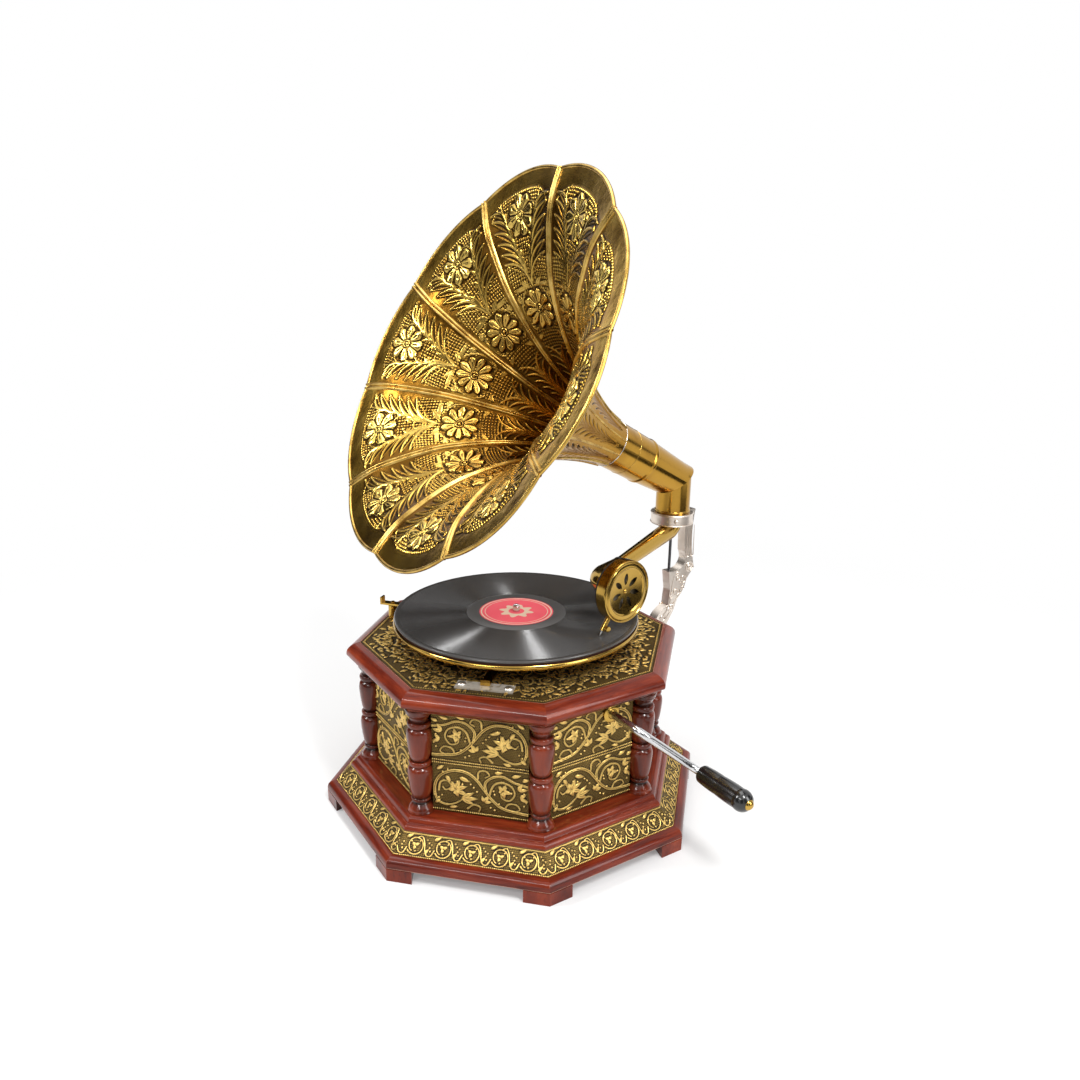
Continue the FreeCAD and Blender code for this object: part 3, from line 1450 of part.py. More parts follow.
neck_bore = Part.makeCylinder(S.neck_radius.value - S.tube_wall.value, neck_rise.value, bend_start)
neck_tube = neck_tube.cut(neck_bore)
bend_tube = skin(stations[1:], S.tube_wall.value)
straight = Part.makeCone(S.arm_thick.value, S.arm_tip.value, S.arm_length.value, bend_end, arm_way)
straight_bore = Part.makeCone(
    S.arm_thick.value - S.tube_wall.value,
    S.arm_tip.value - S.tube_wall.value,
    S.arm_length.value,
    bend_end,
    arm_way,
)
shaped("tonearm", bend_tube.fuse([neck_tube, straight.cut(straight_bore)]))

# The arm swings about the pin, so the pin ends flat under the lowest point of the arm above it.
pin_low = S.shelf_height - S.screw_bite
pin_foot = V(0, S.arm_axis_y.value, pin_low.value)
pin_line = Part.makeCylinder(S.pin_radius.value, S.elbow_z.value, pin_foot)
arm_room = Part.makeLoft(
    [ring_wire(spot, way, radius + S.fit_gap.value) for spot, way, radius in stations[1:]], True
)
pin_top = pin_line.common(arm_room).optimalBoundingBox().ZMin
shaped("pivot_pin", Part.makeCylinder(S.pin_radius.value, pin_top - pin_low.value, pin_foot))

gasket_start = arm_end
gasket_end = gasket_start + arm_way * S.gasket_thick.value
gasket = Part.makeCylinder(S.gasket_radius.value, S.gasket_thick.value, gasket_start, arm_way)
tip_bore = S.arm_tip - S.tube_wall
gasket_bore = Part.makeCylinder(tip_bore.value, S.gasket_thick.value, gasket_start, arm_way)
shaped("gasket", gasket.cut(gasket_bore))

swivel_start = gasket_end + arm_way * S.fit_gap.value
crook_start = swivel_start + arm_way * S.neck_straight.value
box_way = heading(S.box_heading.value)
crook_turn = S.box_heading.value - arm_plan
crook = [(swivel_start, arm_way, S.gasket_radius.value), (crook_start, arm_way, S.neck_thick.value)]
spot = crook_start
for step in range(1, BEND_STEPS + 1):
    angle = arm_plan + crook_turn * (step - 0.5) / BEND_STEPS
    chord = 2 * S.neck_bend.value * math.sin(math.radians(crook_turn / BEND_STEPS / 2))
    spot = spot + heading(angle) * chord
    way = heading(arm_plan + crook_turn * step / BEND_STEPS)
    radius = S.neck_thick + (S.neck_end - S.neck_thick) * (step / BEND_STEPS)
    crook.append((spot, way, radius.value))
crook_bend = skin(crook[1:], S.tube_wall.value)
crook_tail = Part.makeCylinder(S.neck_end.value, S.neck_run.value, spot, box_way)
tail_bore = Part.makeCylinder(S.neck_end.value - S.tube_wall.value, S.neck_run.value, spot, box_way)
crook_run = Part.makeCone(
    S.gasket_radius.value, S.neck_thick.value, S.neck_straight.value, swivel_start, arm_way
)
crook_bore = Part.makeCone(
    S.gasket_radius.value - S.tube_wall.value,
    S.neck_thick.value - S.tube_wall.value,
    S.neck_straight.value,
    swivel_start,
    arm_way,
)
box_spot = spot + box_way * S.neck_run.value
shaped("gooseneck", crook_bend.fuse([crook_run.cut(crook_bore), crook_tail.cut(tail_bore)]))

BOX_TURN = FreeCAD.Rotation(Z_AXIS, S.box_heading.value) * ALONG_X
box_frame = FreeCAD.Placement(box_spot, BOX_TURN)


def in_box(label, points):
    """A turned sound box piece, its axis along the box's own."""
    piece = keep(label, turned(label, points))
    settle(piece, box_frame)
    return piece


rubber_edge = S.box_radius - S.box_wall
neck_hole = S.neck_end - S.tube_wall
case_low = S.box_rubber
case_high = case_low + S.box_depth
in_box("soundbox_rubber", washer(neck_hole, rubber_edge, 0, case_low))
in_box(
    "soundbox_case",
    [
        (neck_hole, case_low),
        (S.box_radius, case_low),
        (S.box_radius, case_high),
        (S.box_radius - S.box_wall, case_high),
        (S.box_radius - S.box_wall, case_low + S.box_wall),
        (neck_hole, case_low + S.box_wall),
    ],
)
mica_low = case_low + S.box_depth / 2
in_box(
    "diaphragm",
    washer(0, S.box_radius - S.box_wall - S.run_gap, mica_low, mica_low + S.mica_thick),
)
DISH_DROP_SHARE = 0.3
LIP_SIDE_SHARE = 0.6
LIP_ROUND_SHARE = 0.1
LIP_INNER_SHARE = 0.8
dish_drop = S.cover_dish * DISH_DROP_SHARE
dish_edge = S.box_radius - S.box_wall * 3
cover = in_box(
    "soundbox_cover",
    [
        (0, case_high - dish_drop),
        (dish_edge, case_high + S.cover_thick / 2),
        (dish_edge, case_high),
        (S.box_radius, case_high),
        (S.box_radius, case_high + S.cover_lip * LIP_SIDE_SHARE, S.cover_lip * LIP_ROUND_SHARE),
        (S.box_radius - S.box_wall, case_high + S.cover_lip),
        (dish_edge, case_high + S.cover_lip * LIP_INNER_SHARE),
        (0, case_high - dish_drop + S.cover_thick),
    ],
)
SLOTS = 7
slots = sketch_on(cover, "XY_Plane", case_high + S.cover_lip + S.cut_over)
for index in range(SLOTS):
    angle = math.radians(90 + 360 * index / SLOTS)
    out = (math.cos(angle), math.sin(angle))
    corners = []
    for reach_hand, side_hand in ((-1, -1), (1, -1), (1, 1), (-1, 1)):
        reach = S.slot_circle + S.slot_length * (reach_hand / 2)
        side = S.slot_width * (side_hand / 2)
        corners.append((reach * out[0] - side * out[1], reach * out[1] + side * out[0]))
    outline(slots, corners)
pocket(cover, slots, S.cover_lip + S.cut_over * 2)

# Needle work, in the sound box's frame: the holder slopes down and forward past the flange
stylus_drop = math.radians(S.stylus_angle.value)
box_side = heading(S.box_heading.value - 90)
stylus_way = box_side * math.cos(stylus_drop) - Z_AXIS * math.sin(stylus_drop)
holder_plane = box_spot + box_way * (case_low + S.box_depth / 2).value
holder_start = holder_plane + stylus_way * (S.box_radius + S.run_gap).value
holder_end = holder_start + stylus_way * S.holder_length.value
needle_drop = (holder_end.z - (record_top + S.needle_gap).value) / math.sin(stylus_drop)
holder = Part.makeCylinder(S.holder_radius.value, S.holder_length.value, holder_start, stylus_way)
needle_seat = S.holder_length.value / 2
needle_start = holder_end - stylus_way * needle_seat
hole_radius = S.needle_radius + S.run_gap
needle_hole = Part.makeCylinder(hole_radius.value, S.holder_length.value, needle_start, stylus_way)
thumb_spot = holder_end - stylus_way * (needle_seat / 2)
thumb_hole = Part.makeCylinder(hole_radius.value, S.holder_length.value, thumb_spot, box_way)
shaped("needle_holder", holder.cut(needle_hole).cut(thumb_hole))
shank = Part.makeCylinder(S.needle_radius.value, needle_seat + needle_drop / 2, needle_start, stylus_way)
point_start = needle_start + stylus_way * (needle_seat + needle_drop / 2)
point_end = S.needle_radius / 8
point = Part.makeCone(S.needle_radius.value, point_end.value, needle_drop / 2, point_start, stylus_way)
shaped("needle", shank.fuse(point).removeSplitter())
head_start = thumb_spot + box_way * (S.holder_radius + S.fit_gap).value
thumb_head = Part.makeCylinder(S.thumb_radius.value, S.thumb_length.value, head_start, box_way)
stem_start = thumb_spot + box_way * (S.needle_radius + S.fit_gap).value
thumb_stem = Part.makeCylinder(S.needle_radius.value, S.holder_radius.value, stem_start, box_way)
shaped("needle_screw", thumb_head.fuse(thumb_stem).removeSplitter())

# Speed control: plate on the deck, lever under the turntable, shaft with the governor pad arm
speed_out = V(math.cos(speed_turn), math.sin(speed_turn), 0)
plate_frame = FreeCAD.Rotation(Z_AXIS, math.degrees(speed_turn))
speed_plate = Part.makeBox(
    S.speed_width.value,
    S.speed_length.value,
    S.strap_thick.value,
    V(-S.speed_width.value / 2, -S.speed_length.value / 2, 0),
)
shaped(
    "speed_plate",
    speed_plate,
    FreeCAD.Placement(V(S.speed_x.value, S.speed_y.value, deck.value), plate_frame),
)
strap_low = deck + S.strap_thick + S.fit_gap
strap = Part.makeBox(
    S.strap_length.value,
    S.strap_width.value,
    S.strap_thick.value,
    V(0, -S.strap_width.value / 2, 0),
)
strap_eye = Part.makeCylinder(S.strap_width.value / 2, S.strap_thick.value)
FINGER_SHARE = 0.6
strap_finger = Part.makeBox(
    S.strap_thick.value,
    S.strap_width.value,
    S.strap_width.value * FINGER_SHARE,
    V(S.strap_length.value - S.strap_thick.value, -S.strap_width.value / 2, 0),
)
strap = strap.fuse([strap_eye, strap_finger])
strap.Placement = FreeCAD.Placement(spot_at(speed_axis, strap_low), plate_frame)
pad_level = leaf_low + S.fit_gap
speed_rod = upright(speed_axis, pad_level, strap_low + S.strap_thick, S.speed_shaft)
pad_arm = Part.makeBox(
    S.pad_arm_length.value,
    S.strap_width.value,
    S.strap_thick.value,
    V(-S.pad_arm_length.value, -S.strap_width.value / 2, 0),
)
pad_arm.Placement = FreeCAD.Placement(spot_at(speed_axis, pad_level), plate_frame)
shaped("speed_lever", strap.fuse([speed_rod, pad_arm]).removeSplitter())

# Brake: post on the deck and a lever whose pad faces the turntable rim
brake_spot = (S.brake_x, S.brake_y)
post_top = rim_low - S.fit_gap
brake_pin_top = post_top + S.brake_thick + S.brake_thick
post = upright(brake_spot, deck, post_top, S.brake_post)
brake_pin = upright(brake_spot, post_top, brake_pin_top, S.brake_pin)
shaped("brake_post", post.fuse(brake_pin).removeSplitter())
brake_out = math.atan2(S.brake_y.value, S.brake_x.value)
brake_far = math.hypot(S.brake_x.value, S.brake_y.value)
pad_reach = brake_far - S.platter_radius.value - S.platter_wall.value
lever = Part.makeBox(
    S.brake_length.value + pad_reach,
    S.brake_width.value,
    S.brake_thick.value,
    V(-pad_reach, -S.brake_width.value / 2, 0),
)
tab = Part.makeBox(
    S.brake_thick.value,
    S.brake_width.value,
    S.brake_width.value,
    V(S.brake_length.value - S.brake_thick.value, -S.brake_width.value / 2, 0),
)
lever = lever.fuse(tab).cut(Part.makeCylinder(S.brake_pin.value + S.run_gap.value, S.brake_width.value))
brake_frame = FreeCAD.Rotation(Z_AXIS, math.degrees(brake_out))
shaped(
    "brake_lever",
    lever.removeSplitter(),
    FreeCAD.Placement(spot_at(brake_spot, post_top + S.fit_gap), brake_frame),
)

doc.recompute()
for item in doc.Objects:
    if "Invalid" in item.State or "Error" in item.State:
        raise RuntimeError("failed object: %s %s" % (item.Name, item.State))
for label, node in NODES.items():
    if node.Shape.isNull() or not node.Shape.isValid():
        raise RuntimeError("bad shape: %s" % label)
os.makedirs("parts", exist_ok=True)
for label, node in NODES.items():
    node.Shape.exportStep("parts/%s.step" % label)
print(len(NODES), "sub-parts written")
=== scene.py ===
import math

import bpy
import numpy as np
from mathutils import Matrix, Vector


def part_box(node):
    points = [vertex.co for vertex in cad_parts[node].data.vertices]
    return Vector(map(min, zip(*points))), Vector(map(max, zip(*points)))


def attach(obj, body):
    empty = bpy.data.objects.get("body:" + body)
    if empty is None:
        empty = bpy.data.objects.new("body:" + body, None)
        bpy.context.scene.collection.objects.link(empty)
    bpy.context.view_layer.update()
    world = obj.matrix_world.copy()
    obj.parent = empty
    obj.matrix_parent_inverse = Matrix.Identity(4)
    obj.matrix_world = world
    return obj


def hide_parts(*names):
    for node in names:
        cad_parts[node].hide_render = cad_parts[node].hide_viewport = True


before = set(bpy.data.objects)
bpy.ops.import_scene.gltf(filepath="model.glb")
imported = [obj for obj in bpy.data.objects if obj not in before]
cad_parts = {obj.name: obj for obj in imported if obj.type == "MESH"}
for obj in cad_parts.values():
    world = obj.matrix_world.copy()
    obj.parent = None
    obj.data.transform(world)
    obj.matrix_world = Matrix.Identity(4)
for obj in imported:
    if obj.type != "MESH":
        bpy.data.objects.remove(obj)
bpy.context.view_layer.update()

# Feet and plinth board
# Eight kite-shaped blocks carry a broad octagonal board of red mahogany. The board's upper edge is
# rounded over with a moulding plane, and everything has the same deep glossy shellac finish.
SIDES = 8
SIDE_TURN = 2 * math.pi / SIDES
MITRE = math.tan(SIDE_TURN / 2)
MM = 0.001
WEAR_PER_BEND = 2.5
MITRE_WEAR = 0.55
SIDE_PARTS = 40


class Value:
    """One shader socket that can be used in a Python sum."""

    def __init__(self, finish, socket):
        self.finish = finish
        self.socket = socket

    def maths(self, operation, first, second):
        return self.finish.node("ShaderNodeMath", {"operation": operation}, {0: first, 1: second})

    def __add__(self, other):
        return self.maths("ADD", self, other)

    def __radd__(self, other):
        return self.maths("ADD", other, self)

    def __sub__(self, other):
        return self.maths("SUBTRACT", self, other)

    def __rsub__(self, other):
        return self.maths("SUBTRACT", other, self)

    def __mul__(self, other):
        return self.maths("MULTIPLY", self, other)

    def __rmul__(self, other):
        return self.maths("MULTIPLY", other, self)

    def __pow__(self, other):
        return self.maths("POWER", self, other)


class Finish:
    """A material in the making: one shader and the nodes that feed it."""

    def __init__(self, name, sockets):
        self.material = bpy.data.materials.new(name)
        self.material.use_nodes = True
        self.tree = self.material.node_tree
        self.shader = self.tree.nodes["Principled BSDF"]
        self.give(sockets)

    def node(self, kind, settings=None, sockets=None, output=0):
        """Any node: its settings first, then its sockets. Gives back one of its outputs."""
        node = self.tree.nodes.new(kind)
        for key, setting in (settings or {}).items():
            if key == "stops":
                ramp = node.color_ramp
                while len(ramp.elements) < len(setting):
                    ramp.elements.new(0.5)
                for element, (place, colour) in zip(ramp.elements, setting):
                    element.position = place
                    element.color = colour if len(colour) == 4 else (*colour, 1)
            else:
                setattr(node, key, setting)
        for key, value in (sockets or {}).items():
            self.plug(node.inputs[key], value)
        return Value(self, node.outputs[output])

    def plug(self, socket, value):
        if isinstance(value, Value):
            self.tree.links.new(value.socket, socket)
        elif hasattr(value, "__len__") and len(value) == 3 and len(socket.default_value) == 4:
            socket.default_value = (*value, 1)
        else:
            socket.default_value = value

    def give(self, sockets):
        for key, value in sockets.items():
            self.plug(self.shader.inputs[key], value)

    def place(self, scale=(1, 1, 1)):
        """Object coordinates, stretched."""
        here = self.node("ShaderNodeTexCoord", output=3)
        return self.node("ShaderNodeMapping", None, {"Vector": here, "Scale": scale})

    def noise(self, scale, detail=4, stretch=(1, 1, 1), rough=0.55):
        spot = self.place(stretch)
        sockets = {"Vector": spot, "Scale": scale, "Detail": detail, "Roughness": rough}
        return self.node("ShaderNodeTexNoise", None, sockets)

    def ramp(self, factor, *stops):
        return self.node("ShaderNodeValToRGB", {"stops": stops}, {"Fac": factor})

    def step(self, value, low, high):
        """0 below low, 1 above high, smooth between."""
        settings = {"interpolation_type": "SMOOTHSTEP"}
        sockets = {"Value": value, "From Min": low, "From Max": high}
        return self.node("ShaderNodeMapRange", settings, sockets)

    def mix(self, factor, first, second):
        return self.node("ShaderNodeMix", {"data_type": "RGBA"}, {0: factor, 6: first, 7: second}, 2)

    def attribute(self, name):
        return self.node("ShaderNodeAttribute", {"attribute_name": name}, output=2)

    def bump(self, height, distance, strength):
        sockets = {"Height": height, "Distance": distance, "Strength": strength}
        self.give({"Normal": self.node("ShaderNodeBump", None, sockets)})


def mahogany(name, stretch, worn=None):
    """Red-stained mahogany under gloss: long grain, darker pores, rubbed edges where worn is high."""
    wood = Finish(name, {"Coat Roughness": 0.06, "Coat IOR": 1.4, "Specular IOR Level": 0.12})
    grain = wood.noise(46, 6, stretch, 0.65)
    cloud = wood.noise(9, 3, stretch)
    pores = wood.step(wood.noise(260, 2, stretch, 0.7), 0.58, 0.7)
    tone = wood.ramp(
        grain * 0.65 + cloud * 0.35,
        (0.32, (0.035, 0.004, 0.002)),
        (0.46, (0.115, 0.012, 0.004)),
        (0.58, (0.205, 0.027, 0.008)),
        (0.72, (0.32, 0.058, 0.018)),
    )
    tone = wood.mix(pores * 0.45, tone, (0.03, 0.004, 0.003))
    gloss = 0.35 + cloud * 0.4
    if worn:
        rub = wood.step(wood.attribute(worn) + wood.noise(95, 3, rough=0.7) * 0.9, 1.08, 1.3)
        tone = wood.mix(rub * 0.85, tone, (0.5, 0.26, 0.18))
        gloss = gloss - rub * 0.5
    wood.give({"Base Color": tone, "Roughness": 0.24 + grain * 0.16, "Coat Weight": gloss})
    wood.bump(grain * 0.6 + pores * -0.5, 0.00025, 0.5)
    return wood.material


def paint(material, *names):
    """Give CAD nodes their finish."""
    for name in names:
        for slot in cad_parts[name].material_slots:
            slot.material = material


def mesh_of(name, verts, faces, sharp=35):
    """A mesh, smooth apart from its hard corners."""
    mesh = bpy.data.meshes.new(name)
    mesh.from_pydata([tuple(v) for v in verts], [], [tuple(f) for f in faces])
    mesh.validate()
    mesh.shade_smooth()
    mesh.set_sharp_from_angle(angle=math.radians(sharp))
    return mesh


def new_object(name, data, place=Matrix()):
    """An object in the scene, at its place."""
    thing = bpy.data.objects.new(name, data)
    bpy.context.scene.collection.objects.link(thing)
    thing.matrix_world = place
    return thing


def put(name, mesh, material, body, place=Matrix()):
    """A piece in its place, riding on a body."""
    if not mesh.materials:
        mesh.materials.append(material)
    piece = new_object(name, mesh, place)
    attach(piece, body)
    return piece


def put_round(name, mesh, material, node):
    """Eight equal pieces round the case's upright axis, in place of one CAD node."""
    for index in range(SIDES):
        turn = Matrix.Rotation(index * SIDE_TURN, 4, "Z")
        piece = put("%s_%d" % (name, index + 1), mesh, material, "base", turn)
        if index == 0:
            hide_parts(node)


def soften(points, radius, steps=4):
    """An outline with its inner corners rounded. A corner with a third entry 0 stays sharp."""
    smooth = []
    for index, point in enumerate(points):
        here = Vector(point[:2])
        if index in (0, len(points) - 1) or len(point) == 3:
            smooth.append(here)
            continue
        before = Vector(points[index - 1][:2]) - here
        after = Vector(points[index + 1][:2]) - here
        cut = min(radius, before.length * 0.45, after.length * 0.45)
        begin = here + before.normalized() * cut
        finish = here + after.normalized() * cut
        for step in range(steps + 1):
            share = step / steps
            smooth.append(begin.lerp(here, share).lerp(here.lerp(finish, share), share))
    return smooth


def edge_wear(outline):
    """How much each point of an outline is a rubbed outer corner, 0 to 1."""
    wear = [0.0]
    for before, here, after in zip(outline, outline[1:], outline[2:]):
        bend = (here - before).normalized().cross((after - here).normalized())
        wear.append(min(1.0, max(0.0, bend * WEAR_PER_BEND)))
    return wear + [0.0]


def grid_faces(rows, columns):
    """Quads of a grid whose points run along its columns first."""
    faces = []
    for row in range(rows - 1):
        for column in range(columns - 1):
            corner = row * columns + column
            faces.append((corner, corner + 1, corner + columns + 1, corner + columns))
    return faces


def grid_mesh(name, points, columns, sharp=35):
    """A sheet of quads on such a grid."""
    return mesh_of(name, points, grid_faces(len(points) // columns, columns), sharp)


def mark(mesh, name, values):
    """Keep a value for each point of a mesh, for its finish."""
    values = np.asarray(values, dtype=float).ravel()
    mesh.attributes.new(name, "FLOAT", "POINT").data.foreach_set("value", values)


def inside_edge(edge, foot, steps):
    """An outline from distances inside an edge and above a foot, in millimetres."""
    return [(edge - inward * MM, foot + rise * MM) for inward, rise in steps]


def moulding(name, outline):
    """One mitred side of an octagonal frame. The outline gives apothem and height, from the lowest
    inner point on."""
    points = []
    wear = []
    for (apothem, height), worn in zip(outline, edge_wear(outline)):
        for step in range(SIDE_PARTS + 1):
            share = 2 * step / SIDE_PARTS - 1
            points.append((apothem, apothem * MITRE * share, height))
            end = max(0.0, 1 - (1 - abs(share)) * SIDE_PARTS * 0.7)
            wear.append(max(worn, MITRE_WEAR * end))
    mesh = grid_mesh(name, points, SIDE_PARTS + 1)
    mark(mesh, "worn", wear)
    return mesh


plinth_low, plinth_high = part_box("plinth_board")
wood_along = mahogany("mahogany_mouldings", (3.0, 0.35, 3.0), "worn")
paint(mahogany("mahogany_feet", (1, 1, 0.4)), "corner_feet")

plinth_edge = plinth_high.x
plinth_inner = plinth_edge * 0.55
plinth_nose = inside_edge(plinth_edge, plinth_low.z, [(0, 0), (0, 3.4), (0.7, 6.6), (3.0, 9.2)])
plinth_nose += inside_edge(plinth_edge, plinth_high.z, [(7.2, 0)])
plinth_outline = [(plinth_inner, plinth_low.z), *plinth_nose, (plinth_inner, plinth_high.z)]
plinth_mesh = moulding("plinth_side", soften(plinth_outline, 2.2 * MM))
put_round("plinth_side", plinth_mesh, wood_along, "plinth_board")
paint(wood_along, "plinth_slope")

# Sloping plinth band
# Thin brass sheet pressed in a die with a running vine, nailed on the sloping face of the plinth.
# The ground was blackened and the raised lines rubbed bright again.


def ridge(x, y, path, width, tip=None):
    """Rounded ridge along a line of points, drawn out to its tip: 1 on the line, 0 at half the width."""
    tip = width if tip is None else tip
    nearest = np.full(x.shape, 9.0)
    for index, ((ax, ay), (bx, by)) in enumerate(zip(path, path[1:])):
        dx, dy = bx - ax, by - ay
        share = np.clip(((x - ax) * dx + (y - ay) * dy) / (dx * dx + dy * dy + 1e-12), 0, 1)
        half = (width + (tip - width) * (index + share) / (len(path) - 1)) / 2
        nearest = np.minimum(nearest, np.hypot(x - ax - share * dx, y - ay - share * dy) / half)
    return np.clip(1 - nearest**2, 0, 1)


def leaf(x, y, foot, turn, length, width):
    """Pointed leaf with a pressed mid vein."""
    cos, sin = math.cos(turn), math.sin(turn)
    along = ((x - foot[0]) * cos + (y - foot[1]) * sin) / length
    side = ((y - foot[1]) * cos - (x - foot[0]) * sin) / (width / 2)
    reach = np.sin(np.pi * np.clip(along, 0, 1) ** 0.75)
    across = np.abs(side) / np.maximum(reach, 1e-6)
    height = np.sqrt(np.clip(1 - across**2, 0, 1)) * (0.35 + 0.65 * reach)
    height = height - 0.35 * np.exp(-((side / 0.16) ** 2)) * reach
    return np.where((along > 0) & (along < 1) & (across < 1), np.clip(height, 0.05, 1), 0)


def daisy(x, y, middle, radius, count, turn):
    """Open flower of broad spoon-shaped petals with a crease, round a ringed knob."""
    dx, dy = (x - middle[0]) / radius, (y - middle[1]) / radius
    out = np.hypot(dx, dy)
    slot = 2 * math.pi / count
    off = (np.arctan2(dy, dx) - turn + slot / 2) % slot - slot / 2
    along, side = out * np.cos(off), out * np.sin(off)
    tip = np.sqrt(np.clip(1 - (np.clip(along - 0.64, 0, 1) / 0.36) ** 2, 0, 1))
    wide = np.maximum(math.tan(slot / 2) * 0.93 * np.minimum(along, 0.78) * tip, 1e-6)
    share = np.abs(side) / wide
    height = np.clip(1 - share**2.6, 0, 1) ** 0.5 * np.clip((along - 0.15) / 0.15, 0, 1)
    height = height * (0.6 + 0.4 * along) - 0.3 * np.exp(-((side / 0.03) ** 2)) * (along < 0.72)
    petals = np.where((share < 1) & (along > 0.16) & (along < 1), np.clip(height, 0.1, 1), 0)
    ring = np.clip(1 - ((out - 0.18) / 0.05) ** 2, 0, 1) * 0.75
    knob = np.sqrt(np.clip(1 - (out / 0.11) ** 2, 0, 1))
    return np.maximum(np.maximum(petals, ring), knob)


def dots(x, y, pitch, size):
    """Rows of round beads."""
    dx = (x / pitch - np.round(x / pitch)) * pitch
    dy = (y / pitch - np.round(y / pitch)) * pitch
    return np.clip(1 - (np.hypot(dx, dy) / (size / 2)) ** 2, 0, 1)


def beaded_ground(x, y):
    """The low stippled ground of the case's sheets."""
    return dots(x + 0.5 * y, y, 1.7, 1.5) * 0.26


def bead_row(along, off, pitch, size):
    """One row of beads, from the place along it and the distance off it."""
    step = (along / pitch - np.round(along / pitch)) * pitch
    return np.clip(1 - (step**2 + off**2) / size, 0, 1)


def pearl(x, y, spot, size):
    """One round bead."""
    return np.clip(1 - ((x - spot[0]) ** 2 + (y - spot[1]) ** 2) / size, 0, 1)


def arc(middle, radius, begin, end, steps=20, shrink=0.0):
    """Points along an arc in degrees, drawing in like a spiral where shrink is given."""
    points = []
    for step in range(steps + 1):
        share = step / steps
        angle = math.radians(begin + (end - begin) * share)
        reach = radius * (1 - shrink * share)
        points.append((middle[0] + reach * math.cos(angle), middle[1] + reach * math.sin(angle)))
    return points


def smooth_path(knots):
    """A smooth line through points."""
    steps = 5
    line = []
    for index in range(len(knots) - 1):
        spots = [Vector(knots[min(max(index + k, 0), len(knots) - 1)]) for k in (-1, 0, 1, 2)]
        before, here, there, after = spots
        for step in range(steps):
            t = step / steps
            bend = 2 * before - 5 * here + 4 * there - after
            twist = 3 * here - before - 3 * there + after
            line.append((2 * here + (there - before) * t + bend * t**2 + twist * t**3) / 2)
    line.append(Vector(knots[-1]))
    return line


def blurred(field, reach):
    """A running mean over a grid."""
    for axis in (0, 1):
        padded = np.pad(field, [(reach, reach) if axis == k else (0, 0) for k in (0, 1)], "edge")
        parts = [np.take(padded, range(k, k + field.shape[axis]), axis) for k in range(2 * reach + 1)]
        field = sum(parts) / len(parts)
    return field


def pressed_sheet(name, base, normal, relief, depth, columns):
    """A sheet whose pattern is raised out of it, with its high and hollow parts kept for the patina."""
    points = base + normal * (relief * depth)[:, None]
    mesh = grid_mesh(name, points, columns, 180)
    field = relief.reshape(-1, columns)
    mark(mesh, "relief", relief)
    mark(mesh, "hollow", np.clip((blurred(field, 3) - field) * 2.6, 0, 1))
    return mesh


def antique_brass(name, dark, ground, bright, stipple):
    """Pressed brass with blackened hollows and rubbed high parts."""
    brass = Finish(name, {"Specular IOR Level": 0.5})
    raised = brass.attribute("relief")
    hollow = brass.attribute("hollow")
    stain = brass.noise(38, 4)
    fleck = brass.noise(300, 2)
    grains = brass.node("ShaderNodeTexVoronoi", None, {"Vector": brass.place(), "Scale": stipple})
    pips = brass.step(grains, 0.42, 0.16)
    height = raised + pips * 0.1 * (1 - raised) + (stain - 0.5) * 0.35
    shade = tuple(part * 0.6 for part in ground)
    tone = brass.ramp(height, (0.0, shade), (0.16, ground), (0.62, bright))
    tone = brass.mix(brass.step(hollow + (fleck - 0.5) * 0.3, 0.05, 0.5), tone, dark)
    brass.give({"Base Color": tone, "Roughness": 0.46 - raised * 0.2 + stain * 0.1})
    brass.give({"Metallic": 0.95 - hollow * 0.5})
    brass.bump(pips * (1 - raised) + fleck * 0.25, 0.0004, 0.6)
    return brass.material


case_brass = antique_brass(
    "antique_brass_sheet", (0.02, 0.013, 0.005), (0.17, 0.11, 0.032), (0.78, 0.53, 0.16), 900
)

band_low, band_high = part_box("plinth_band")
BAND_ROWS = 46
BAND_COLUMNS = 300
BAND_DEPTH = 0.9 * MM
VINE_LOOPS = 5
VINE_WIDTHS = (1.7, 1.3)
# One loop's drawing in millimetres from the foot below its middle: ring, stem to the next loop, leaves
# as foot, heading and length, and pearls
LOOP_LINES = [
    arc((0, 11.2), 8.4, 215, 600, 34, 0.3),
    smooth_path(
        [(-8.2, 8.6), (-10.6, 3.6), (-14.4, 3.2), (-17.2, 8), (-18.6, 14.5), (-21.5, 19.4), (-25, 18.6)]
    ),
]
LOOP_LEAVES = [
    (0, 11.2, 0.6, 4.6), (0, 11.2, 2.5, 4.2), (0, 11.2, 4.4, 4.6), (-9.6, 17.5, 0.5, 7.5),
    (9.4, 4.4, 0.9, 7),
]
LOOP_PEARLS = [
    (-11.6, 13.2), (-13, 10.4), (-12.2, 7.4), (10.6, 17), (12.6, 14.4), (4, 15.2), (-4.2, 14.6), (0.4, 6.2),
]
band_foot = band_high.x
band_head = 161.5 * MM
band_rise = band_high.z - band_low.z
band_wide = math.hypot(band_foot - band_head, band_rise)
across, along = np.meshgrid(
    np.linspace(0, 1, BAND_ROWS), np.linspace(-1, 1, BAND_COLUMNS), indexing="ij"
)
apothem = band_foot + (band_head - band_foot) * across
band_base = np.stack([apothem, apothem * MITRE * along, band_low.z + band_rise * across], -1)
band_base = band_base.reshape(-1, 3)
x = band_base[:, 1] / MM
y = (across * band_wide / MM).ravel()
loop = 2 * band_head * MITRE / MM / VINE_LOOPS
relief = beaded_ground(x, y)
